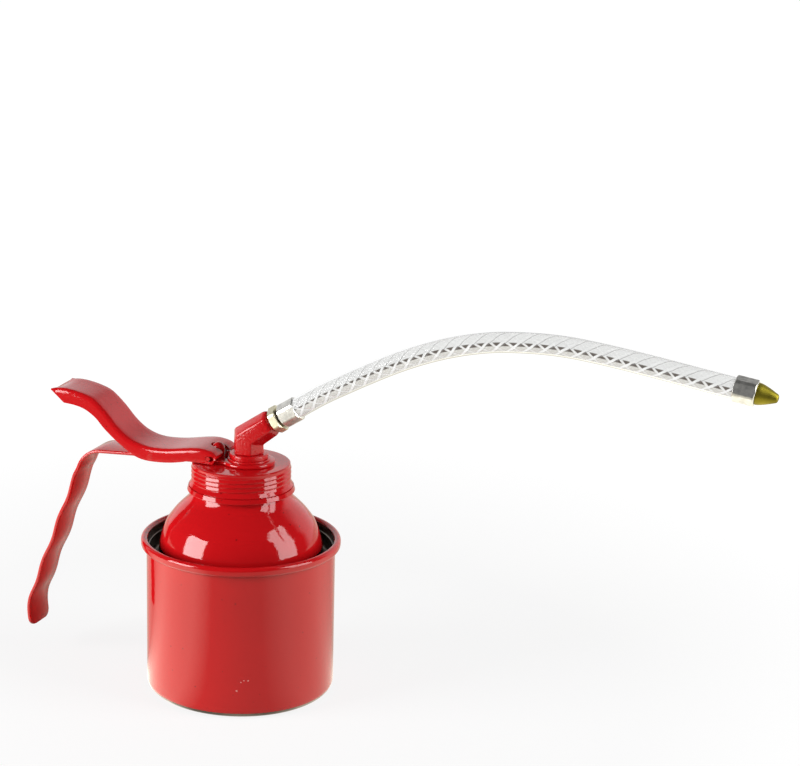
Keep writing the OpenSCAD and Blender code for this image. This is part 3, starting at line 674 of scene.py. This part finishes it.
strap = strap_mesh()
boolean(strap, "UNION", [rod_y("cheek", PIVOT_X, PIVOT_Z, CHEEK_R, CHEEK_HALF, 48)])
boolean(strap, "DIFFERENCE", [block("window", (PIVOT_X - 3.0, -8.2, PIVOT_Z - 9),
                                    (PIVOT_X + 3.0, 8.2, PIVOT_Z + 9))])
paint(strap, enamel_handle)
# the face that looks at the can carries the crowned skin and a redder base colour, which is painted light
strap.data.materials.append(enamel_strap_painted_light)
for poly in strap.data.polygons:
    if poly.normal.x > 0.5 and poly.center.x < -0.07:
        poly.material_index = 1
stand_for(strap, "pump_head", "handle_enamel", "strap_handle")

# Lever: X is counted from the pump's axis and Z from the cap's top
WEB = [(-86.8, 28.2), (-82.5, 28.9), (-77.8, 28.8), (-72.8, 28), (-68.8, 27), (-64.8, 25.6), (-61.6, 23.6),
       (-56, 18.6), (-50.8, 12.9), (-46.8, 9.4), (-42.8, 6.9), (-38, 5.2), (-32.8, 4.4), (-26.8, 4.5),
       (-20.8, 5.1), (-11.8, 6.7), (-5.8, 7.4), (-2, 7.1), (1.2, 6.4), (3, 5.4)]
EDGE = [(-79.6, 21.6), (-73.5, 21.1), (-67.5, 19.5), (-61.8, 15.9), (-56.9, 10.9), (-50, 5.3), (-42.9, 0.6),
        (-38.4, -1.5), (-33.8, -2.3), (-28, -2.3), (-21.9, -1.8), (-16, -0.8), (-11.6, 0.3)]
REAR_X, NOSE_X = -86.8, 4.0
WAIST_X, WAIST_W, NOSE_FLARE, REAR_RUN = -37.8, 23.5, 2.5, 49
SLOT_UP, SLOT_RISE, FORK_GAP = 3.15, 2.8, 0.4


def lever_half(x):
    """Half width of the lever's outside."""
    if x > WAIST_X:
        return (WAIST_W + NOSE_FLARE * (x - WAIST_X) / (NOSE_X - WAIST_X)) / 2
    return (WAIST_W - (WAIST_X - x) / REAR_RUN) / 2


def lever_section(half, depth, stretch):
    """Outline of the channel as (y, depth below the web's top): outside first, then back along the inside."""
    r = min(2.2, depth * 0.7)
    ri = max(r - LEVER_T, 0.15)
    t = LEVER_T
    n = 6
    outer, inner = [(-half, depth)], [(-half + t, depth)]
    for j in range(n + 1):
        a = math.radians(90 * j / n)
        outer.append((-half + r - r * math.cos(a), (r - r * math.sin(a)) * stretch))
        inner.append((-half + t + ri - ri * math.cos(a), min((t + ri - ri * math.sin(a)) * stretch, depth)))
    mids = [-half * f for f in (0.6, 0.3, 0)]
    outer += [(y, 0) for y in mids]
    inner += [(y, t * stretch) for y in mids]
    outer += [(-y, d) for y, d in reversed(outer[:-1])]
    inner += [(-y, d) for y, d in reversed(inner[:-1])]
    return outer + inner[::-1]


def lever_mesh():
    web = catmull(WEB, 6) + [np.array([NOSE_X, 4.6])]
    low = [np.array([REAR_X, 27.4]), np.array([-86.1, 27.0])] + catmull(EDGE, 6)
    low += [np.array([-8, 0.5]), np.array([NOSE_X - 1.4, 0.6]), np.array([NOSE_X, 3.2])]
    xs = [*np.linspace(REAR_X, -79, 26), *np.linspace(-78.6, 2.4, 150), *np.linspace(2.6, NOSE_X, 8)]
    top = np.interp(xs, [p[0] for p in web], [p[1] for p in web])
    kernel = np.array([1, 2, 3, 2, 1]) / 9
    top[4:-10] = np.convolve(top, kernel, mode="same")[4:-10]
    slope = np.gradient(top, xs)
    low_x, low_z = [p[0] for p in low], [p[1] for p in low]
    rings = []
    for i, x in enumerate(xs):
        stretch = min(math.sqrt(1 + slope[i] ** 2), 1.8)
        half = lever_half(x)
        depth = max(top[i] - float(np.interp(x, low_x, low_z)), 0.3)
        # the web is hollow across at its rear end, and that end is cut in a hollow curve
        rear = max(0.0, 1 - (x - REAR_X) / 9)
        dip = max(0.0, min(1, (-64 - x) / 14))
        ring = []
        for y, d in lever_section(half, depth, stretch):
            middle = 1 - min(1, (y / half) ** 2)
            px = x + 2.0 * rear * middle
            pz = top[i] - min(d, depth) - 0.5 * dip * middle
            ring.append((PUMP_X + px, y, CAP_Z + pz))
        rings.append(ring)
    verts, faces = grid(rings, caps=True)
    obj = new_object("lever_plate", verts, faces, sharp=38)
    weld(obj)
    return obj


def lever_cutters():
    """The fork round the rod, the slots for the rod's pin and the pivot's hole."""
    fork = ROD_R + FORK_GAP
    low, high = CAP_Z - 5, CAP_Z + 20
    turn = math.radians(SQUEEZE)
    travel = PIVOT_BACK * (1 / math.cos(turn) - 1) + SLOT_RISE * math.tan(turn)
    slot_z = CAP_Z + SLOT_UP
    return [block("notch", (PUMP_X, -fork, low), (PUMP_X + 12, fork, high)),
            lathe("notch_round", [(0, low), (fork, low), (fork, high), (0, high)], steps=48,
                  place=lambda p: (p[0] + PUMP_X, p[1], p[2]), loop=False),
            rod_y("slot_a", PUMP_X, slot_z, HOLE_R, 20), rod_y("slot_b", PUMP_X + travel, slot_z, HOLE_R, 20),
            block("slot_c", (PUMP_X, -20, slot_z - HOLE_R), (PUMP_X + travel, 20, slot_z + HOLE_R)),
            rod_y("pivot_hole", PIVOT_X, PIVOT_Z, HOLE_R, 20)]


lever = lever_mesh()
boolean(lever, "DIFFERENCE", lever_cutters())
shade_smooth(lever.data, 38)
paint(lever, enamel_handle)
stand_for(lever, "lever", "handle_enamel", "lever")


# Elbow and fittings
def on_line(origin, direction):
    """Places a turned piece: its axis along direction, its first radius in the plane of X and Z."""
    dx, dz = direction

    def place(p):
        x, y, z = p
        return (origin[0] + z * dx + x * dz, y, origin[1] + z * dz - x * dx)
    return place


def over_spout(p):
    return (p[0] + SPOUT_X, p[1], p[2])


def turned_hex(name, across, start, height, low, high, place, blunt, turn=0.0):
    """Hexagon, across its flats, whose corners and ends are turned off; low and high are its end bevels."""
    r = across / 2 / math.cos(math.radians(30))

    def limit(a):
        m = math.degrees(a + math.radians(turn)) % 60
        return min(across / 2 / math.cos(math.radians(m - 30)), r - blunt)

    prof = [(BORE_R, start), (r - low - 0.2, start)]
    prof += [(r - low + low * i / 8, start + 0.6 * low * i / 8) for i in range(9)]
    prof += [(r, start + height * f) for f in (0.2, 0.5, 0.8)]
    prof += [(r - high * i / 8, start + height - 0.6 * high * (8 - i) / 8) for i in range(9)]
    prof += [(r - high - 0.2, start + height), (BORE_R, start + height)]
    return lathe(name, prof, limit=limit, place=place, sharp=28)


FOOT_AF, KNEE_AF, RIM_AF, MOUTH_AF = 14.1, 13.5, 11.8, 10.2
KNEE_DROP, KNEE_SLANT, RIM_BACK = 0.75, 23.6, 1.5


def elbow_mesh():
    """Hexagonal casting through four rings: foot, knee, and the two ends of the bevel at its mouth."""
    def ring(across):
        r = across / 2 / math.cos(math.radians(30))
        return [(r * math.cos(math.radians(60 * j)), r * math.sin(math.radians(60 * j))) for j in range(6)]

    knee_z, slant = CORNER_Z - KNEE_DROP, math.tan(math.radians(KNEE_SLANT))
    foot = [(SPOUT_X + x, y, FOOT_Z) for x, y in ring(FOOT_AF)]
    knee = [(SPOUT_X + x, y, knee_z - x * slant) for x, y in ring(KNEE_AF)]
    ex, ez = SPOUT_X + ARM_LEN * ARM[0], CORNER_Z + ARM_LEN * ARM[1]
    rim = [(ex - RIM_BACK * ARM[0] + x * ARM[1], y, ez - RIM_BACK * ARM[1] - x * ARM[0])
           for x, y in ring(RIM_AF)]
    mouth = [(ex + x * ARM[1], y, ez - x * ARM[0]) for x, y in ring(MOUTH_AF)]
    verts, faces = grid([foot, knee, rim, mouth], caps=True)
    obj = new_object("elbow_casting", verts, faces, smooth=False)
    weld(obj)
    bevel = obj.modifiers.new("bevel", "BEVEL")
    bevel.width = 0.75 * MM
    bevel.segments = 4
    bevel.limit_method = "ANGLE"
    bevel.angle_limit = math.radians(20)
    apply_modifiers(obj)
    shade_smooth(obj.data, 30)
    return obj


elbow = elbow_mesh()
paint(elbow, enamel_fitting)
stand_for(elbow, "pump_head", "fitting_enamel", "elbow")

washer_z = CAP_Z + STRAP_T
washer_prof = [(5, washer_z)] + arc(10.2, washer_z + 0.3, 0.3, -90, 0, 4)
washer_prof += arc(10.2, washer_z + 0.7, 0.3, 0, 90, 4) + [(5, washer_z + WASHER_T)]
washer = lathe("washer", washer_prof, place=over_spout)
paint(washer, enamel_fitting)
stand_for(washer, "pump_head", "fitting_enamel", "clamp_washer")

nut_z = washer_z + WASHER_T
nut_prof = [(5, nut_z)] + arc(9.2, nut_z + 0.3, 0.3, -90, 0, 4)
nut_prof += arc(8.9, nut_z + 1.8, 0.6, 0, 90, 6) + [(5, nut_z + NUT_H)]
nut = lathe("nut", nut_prof, place=over_spout)
paint(nut, enamel_fitting)
stand_for(nut, "pump_head", "fitting_enamel", "lock_nut")

arm_place = on_line((SPOUT_X, CORNER_Z), ARM)
nipple = turned_hex("nipple", 12.2, HEX_S + 1.0, 3.9, 0.9, 0.9, arm_place, blunt=0.3)
paint(nipple, brass)
stand_for(nipple, "pump_head", "brass", "hose_nipple")
# the neck on both sides of the yellow hexagon, painted dark as painted shade in the gap between the fittings
groove_prof = [(BORE_R, HEX_S - 0.1), (4.4, HEX_S - 0.1), (4.4, FAR_S + 0.5), (BORE_R, FAR_S + 0.5)]
groove = lathe("groove", groove_prof, place=arm_place, steps=96)
paint(groove, dark_steel_and_shade)
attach(groove, "pump_head")

near_ferrule = turned_hex("near_hexagon", 11.0, FAR_S + 0.4, FERRULE_H - 0.4, 1.0, 1.1, arm_place, blunt=0.35)
paint(near_ferrule, plated)
stand_for(near_ferrule, "pump_head", "plated_steel", "near_ferrule")


# Hose
def even(points, n):
    """n points at equal steps along a line, and the line's length."""
    p = np.array(points)
    seg = np.linalg.norm(np.diff(p, axis=0), axis=1)
    s = np.concatenate([[0], np.cumsum(seg)])
    t = np.linspace(0, s[-1], n)
    return np.stack([np.interp(t, s, p[:, 0]), np.interp(t, s, p[:, 1])], 1), s[-1]


hose_pts = [(HOSE_START[0] + x, HOSE_START[1] + z) for x, z in HOSE_PTS]
far_dir = np.array(hose_pts[-1]) - np.array(hose_pts[-2])
far_dir = far_dir / np.linalg.norm(far_dir)
hose_line, hose_len = even(catmull(hose_pts, 24), 221)


def along(i, line):
    """Direction of the hose at a point of its middle line."""
    if i == 0:
        return np.array(ARM)
    if i == len(line) - 1:
        return far_dir
    d = line[i + 1] - line[i - 1]
    return d / np.linalg.norm(d)


def tube(name, r, line, sides=64):
    """Tube along a line in X and Z; its UV map holds the way along in metres and the turn round it."""
    rings = []
    for i, (x, z) in enumerate(line):
        dx, dz = along(i, line)
        ring = []
        for j in range(sides):
            turn = 2 * math.pi * j / sides
            up = r * math.cos(turn)
            ring.append((x + up * dz, r * math.sin(turn), z - up * dx))
        rings.append(ring)
    verts, faces = grid(rings, caps=True)
    obj = new_object(name, verts, [f[::-1] for f in faces])
    step = np.concatenate([[0], np.cumsum(np.linalg.norm(np.diff(np.array(line), axis=0), axis=1))]) * MM
    uv = obj.data.uv_layers.new(name="along").data
    for poly in obj.data.polygons:
        ids = [obj.data.loops[k].vertex_index for k in poly.loop_indices]
        js = [v % sides for v in ids]
        wrap = len(ids) == 4 and max(js) - min(js) > 1
        for k, v in zip(poly.loop_indices, ids):
            j = v % sides
            uv[k].uv = (step[v // sides], (sides if wrap and j == 0 else j) / sides)
    return obj


def braid_material():
    """White yarns laid crosswise under a clear skin, with painted shade: dark gaps along both sides, tones that
    differ between upper and lower half, a grey lower edge and a thin dark line.
    """
    starts, mesh = 5, 0.0075
    upper_gap, lower_gap, edge_gap, weave_tone = ((0.76, 0.76, 0.755), (0.69, 0.67, 0.625),
                                                  (0.75, 0.75, 0.74), (0.84, 0.835, 0.82))
    # bore is the dark colour of the painted shade along both sides, and thin_line the colour of a painted shade
    # line
    bore, thin_line = (0.12, 0.10, 0.085), (0.36, 0.355, 0.35)
    mat, tree, bsdf = material("braid", (0.9, 0.9, 0.9), 0.45)

    def calc(op, a, b=None):
        return math_node(tree, op, a, b)

    way, turn, _ = parts_of(tree, place_of(tree, "UV"))
    shift = calc("MULTIPLY", calc("SUBTRACT", noise(tree, 260, 2), 0.5), 0.22)
    u = calc("ADD", calc("DIVIDE", way, mesh), shift)
    v = calc("MULTIPLY", turn, starts)
    ways = [calc(op, u, v) for op in ("SUBTRACT", "ADD")]
    phase = [calc("FRACT", w) for w in ways]
    # the two layers of yarns with their half widths, the fine weave in the gaps, and one thin line of painted
    # shade along the yarns' edges
    back, front = [ramp(tree, calc("ABSOLUTE", calc("SUBTRACT", f, 0.5)), [(w - 0.03, WHITE), (w + 0.03, BLACK)])
                   for f, w in zip(phase, (0.11, 0.12))]
    fine = [ramp(tree, calc("FRACT", calc("MULTIPLY", w, 3)), [(0.30, BLACK), (0.42, WHITE), (0.54, BLACK)])
            for w in ways]
    weave = calc("MAXIMUM", fine[0], fine[1])
    line = ramp(tree, phase[1], [(0.66, BLACK), (0.71, WHITE), (0.76, BLACK)])
    # both count the way round: sides is 0 where the tube faces +Y or -Y, high is 0 at its top
    sides = calc("ABSOLUTE", calc("SUBTRACT", calc("FRACT", calc("MULTIPLY", turn, 2)), 0.5))
    high = calc("ABSOLUTE", calc("SUBTRACT", turn, 0.5))
    # the gaps are painted lighter grey on the upper half and darker beige on the lower, and light grey at the
    # lower edge: painted light and shade
    lower = ramp(tree, high, [(0.22, BLACK), (0.27, WHITE)])
    gap = mixed(tree, lower, upper_gap, lower_gap)
    gap = mixed(tree, calc("MULTIPLY", weave, 0.6), gap, weave_tone)
    gap = mixed(tree, ramp(tree, high, [(0.37, BLACK), (0.41, WHITE)]), gap, edge_gap)
    # near the first fitting the band of painted shade along both sides narrows
    close = calc("MULTIPLY", calc("SUBTRACT", 0.085, way), 0.42)
    narrow = calc("ADD", sides, calc("MAXIMUM", close, 0.0))
    # the gaps along both sides get the dark colour bore: painted shade
    gap = mixed(tree, ramp(tree, narrow, [(0.045, BLACK), (0.066, WHITE)]), bore, gap)
    # the yarns are painted greyer on the upper half and whiter on the lower: painted light and shade
    col = mixed(tree, back, gap, mixed(tree, lower, (0.79, 0.79, 0.785), (0.86, 0.85, 0.83)))
    col = mixed(tree, front, col, mixed(tree, lower, (0.81, 0.81, 0.805), (0.96, 0.955, 0.945)))
    # the thin line is painted shade, stronger on the upper half
    line_shade = calc("MULTIPLY", line, calc("SUBTRACT", 1.0, calc("MULTIPLY", lower, 0.75)))
    tree.links.new(mixed(tree, line_shade, col, thin_line), bsdf.inputs["Base Color"])
    relief = bump(tree, calc("MAXIMUM", back, front), 0.5, 0.0003)
    tree.links.new(relief.outputs["Normal"], bsdf.inputs["Normal"])
    return mat


def skin_material():
    """Clear PVC, hardly tinted and a little wavy."""
    mat, tree, bsdf = material("clear_skin", (0.92, 0.925, 0.92), 0.04, ior=1.12)
    bsdf.inputs["Transmission Weight"].default_value = 1.0
    ripple = bump(tree, noise(tree, 160, 2), 0.05, 0.0004)
    tree.links.new(ripple.outputs["Normal"], bsdf.inputs["Normal"])
    tree.links.new(drift(tree, 60, 2, (0.90, 0.905, 0.90), (0.94, 0.945, 0.94)), bsdf.inputs["Base Color"])
    return mat


core = tube("hose_braid", 4.9, hose_line)
paint(core, braid_material())
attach(core, "pump_head")

hose = tube("hose_skin", HOSE_D / 2, hose_line)
paint(hose, skin_material())
stand_for(hose, "pump_head", "clear_pvc", "hose")

FAR_TURN = 17.0
far_place = on_line(hose_pts[-1], far_dir)
far_ferrule = turned_hex("far_hexagon", 11.0, 0, FERRULE_H, 0.9, 1.0, far_place, blunt=0.35, turn=FAR_TURN)
paint(far_ferrule, plated)
stand_for(far_ferrule, "pump_head", "plated_steel", "far_ferrule")

TIP_R, TIP_TAPER, TIP_CONE = 4.95, 2.85, 8.0
tip_prof = [(0.7, FERRULE_H), (4.5, FERRULE_H), (4.8, FERRULE_H + 0.1), (TIP_R, FERRULE_H + 0.4)]
tip_prof += [(TIP_R - TIP_TAPER * (i / 10) ** 1.3, FERRULE_H + 0.7 + TIP_CONE * i / 10) for i in range(11)]
tip_prof += [(1.9, FERRULE_H + 9.1), (1.5, FERRULE_H + 9.4), (0.7, FERRULE_H + 9.6)]
tip = lathe("tip", tip_prof, steps=96, place=far_place)
paint(tip, nozzle_brass)
stand_for(tip, "pump_head", "brass", "nozzle")

# The pieces that keep their CAD shape
DRESS = ((enamel_handle, ("pump_rod", "rod_pin", "pivot_pin", "gland_bush")),
         (plated, ("return_spring", "inlet_ball", "outlet_ball")),
         (turned, ("piston", "pump_block", "pump_cylinder", "foot_valve")),
         (brass, ("strainer",)),
         (rubber, ("neck_gasket", "piston_seal", "gland_seal", "suction_tube")))
for mat, nodes in DRESS:
    for node in nodes:
        dress(node, mat)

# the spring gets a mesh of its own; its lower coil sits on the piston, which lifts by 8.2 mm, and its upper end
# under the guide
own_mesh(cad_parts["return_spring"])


# Floor and world, in metres
def seen_rays(tree):
    """1 for the rays that show the background itself, the camera's and those through glass; and the ray node."""
    path = tree.nodes.new("ShaderNodeLightPath")
    rays = math_node(tree, "ADD", path.outputs["Is Camera Ray"], path.outputs["Is Transmission Ray"], clamp=True)
    return rays, path


def shader(tree, kind, colour, strength=None):
    """A plain shader; its colour is a value or a socket, and its strength a socket or left at 1."""
    node = tree.nodes.new(kind)
    if isinstance(colour, tuple):
        node.inputs["Color"].default_value = (*colour, 1)
    else:
        tree.links.new(colour, node.inputs["Color"])
    if strength is not None:
        tree.links.new(strength, node.inputs["Strength"])
    return node.outputs[0]


def blend_shader(tree, factor, a, b):
    node = tree.nodes.new("ShaderNodeMixShader")
    for socket, source in zip(node.inputs, (factor, a, b)):
        tree.links.new(source, socket)
    return node.outputs[0]


def floor_material():
    """White to the eye with a faint shadow; to glossy rays it glows as painted reflection, dark in front of the
    object and brighter in painted pools of light.
    """
    mat = bpy.data.materials.new("floor")
    mat.use_nodes = True
    tree = mat.node_tree
    tree.nodes.clear()
    here = place_of(tree)
    unit = vector_math(tree, "NORMALIZE", here).outputs[0]

    def pool(toward, start, full, gain):
        """A painted pool of light on the floor under a softbox, seen from the can's foot."""
        cosine = vector_math(tree, "DOT_PRODUCT", unit, toward).outputs["Value"]
        return map_range(tree, cosine, start, full, 0.0, gain)

    away = vector_math(tree, "LENGTH", here).outputs["Value"]
    near_far = map_range(tree, away, 0.20, 0.60, 0.84, 1.0)
    front = map_range(tree, parts_of(tree, here)[1], -0.40, -0.26, 0.06, 0.70)
    pools = math_node(tree, "ADD", pool((-0.77, -0.64, 0), 0.73, 0.93, 2.4),
                      pool((0.99, 0.14, 0), 0.62, 0.92, 1.0))
    reflected = math_node(tree, "MULTIPLY", front, math_node(tree, "ADD", pools, 1.0))
    seen, path = seen_rays(tree)
    to_eye = tree.nodes.new("ShaderNodeAddShader")
    tree.links.new(shader(tree, "ShaderNodeEmission", WHITE, near_far), to_eye.inputs[0])
    tree.links.new(shader(tree, "ShaderNodeBsdfDiffuse", (0.14, 0.14, 0.14)), to_eye.inputs[1])
    to_rest = blend_shader(tree, path.outputs["Is Glossy Ray"],
                           shader(tree, "ShaderNodeBsdfDiffuse", (0.42, 0.42, 0.42)),
                           shader(tree, "ShaderNodeEmission", (1, 0.96, 0.82), reflected))
    output = tree.nodes.new("ShaderNodeOutputMaterial")
    tree.links.new(blend_shader(tree, seen, to_rest, to_eye.outputs[0]), output.inputs["Surface"])
    return mat


FLOOR = 4.0
floor_mesh = bpy.data.meshes.new("floor")
floor_mesh.from_pydata([(-FLOOR, -FLOOR, 0), (FLOOR, -FLOOR, 0), (FLOOR, FLOOR, 0), (-FLOOR, FLOOR, 0)], [],
                       [(0, 1, 2, 3)])
floor = add_object("floor", floor_mesh)
paint(floor, floor_material())

BACK = (-0.242, 0.970)
DARK, DIM = (0.05, 0.05, 0.05), (0.45, 0.45, 0.45)


def studio_world():
    """A white backdrop stands behind the object, towards BACK, and the room in front of it is dark."""
    world = bpy.data.worlds.new("studio")
    world.use_nodes = True
    tree = world.node_tree
    tree.nodes.clear()

    def calc(op, a, b=None):
        return math_node(tree, op, a, b)

    x, y, z = parts_of(tree, place_of(tree, "Generated"))
    flat = calc("SQRT", calc("SUBTRACT", 1.0001, calc("MULTIPLY", z, z)))
    toward = calc("ADD", calc("MULTIPLY", x, BACK[0]), calc("MULTIPLY", y, BACK[1]))
    backdrop = ramp(tree, calc("DIVIDE", toward, flat), [(0.44, BLACK), (0.62, WHITE)])
    below = ramp(tree, calc("ADD", calc("MULTIPLY", z, 0.5), 0.5), [(0.72, WHITE), (0.86, BLACK)])
    room = calc("MULTIPLY", backdrop, below)
    gloss = shader(tree, "ShaderNodeBackground", mixed(tree, room, DARK, WHITE))
    fill = shader(tree, "ShaderNodeBackground", mixed(tree, room, DARK, DIM))
    seen, path = seen_rays(tree)
    lit = blend_shader(tree, path.outputs["Is Glossy Ray"], fill, gloss)
    output = tree.nodes.new("ShaderNodeOutputWorld")
    tree.links.new(blend_shader(tree, seen, lit, shader(tree, "ShaderNodeBackground", WHITE)),
                   output.inputs["Surface"])
    return world


bpy.context.scene.world = studio_world()


# Lights and camera, in metres
def area(name, where, target, size, power):
    light = bpy.data.lights.new(name, "AREA")
    light.shape = "RECTANGLE"
    light.size, light.size_y = size
    light.energy = power
    obj = add_object(name, light)
    obj.location = where
    obj.rotation_euler = (Vector(target) - Vector(where)).to_track_quat("-Z", "Y").to_euler()
    obj.visible_transmission = False


def outward(az, el):
    """Direction from the can at an azimuth (0 is -Y, 90 is +X) and an elevation, in degrees."""
    az, el = math.radians(az), math.radians(el)
    return Vector((math.sin(az) * math.cos(el), -math.cos(az) * math.cos(el), math.sin(el)))


MIDDLE = Vector((0, 0, 0.075))
area("softbox_left", MIDDLE + outward(-47, 15) * 1.0, MIDDLE, (0.58, 0.66), 13.8)
area("softbox_right", MIDDLE + outward(94, 24) * 1.05, MIDDLE, (0.58, 0.95), 10.4)

# the camera is fitted to the photograph: focal length and centre in its pixels
PIC_W, PIC_H, SENSOR = 800, 766, 36.0
AZ, EL, DIST, FOCAL = 25.14, 16.05, 1.1, 2246.82
CENTRE = (196.9, 411.8)
TARGET = Vector((-0.02392, 0, 0.13817))

camera_data = bpy.data.cameras.new("camera")
camera_data.sensor_fit = "HORIZONTAL"
camera_data.sensor_width = SENSOR
camera_data.lens = FOCAL / PIC_W * SENSOR
camera_data.shift_x = (PIC_W / 2 - CENTRE[0]) / PIC_W
camera_data.shift_y = (CENTRE[1] - PIC_H / 2) / PIC_W
camera_data.clip_start = 0.05
camera_data.clip_end = 50
camera = add_object("camera", camera_data)
behind = outward(AZ, EL)
right = Vector((math.cos(math.radians(AZ)), math.sin(math.radians(AZ)), 0))
pose = Matrix((right, behind.cross(right), behind)).transposed().to_4x4()
pose.translation = TARGET + behind * DIST
camera.matrix_world = pose
bpy.context.scene.camera = camera
bpy.context.scene.view_settings.view_transform = "Standard"
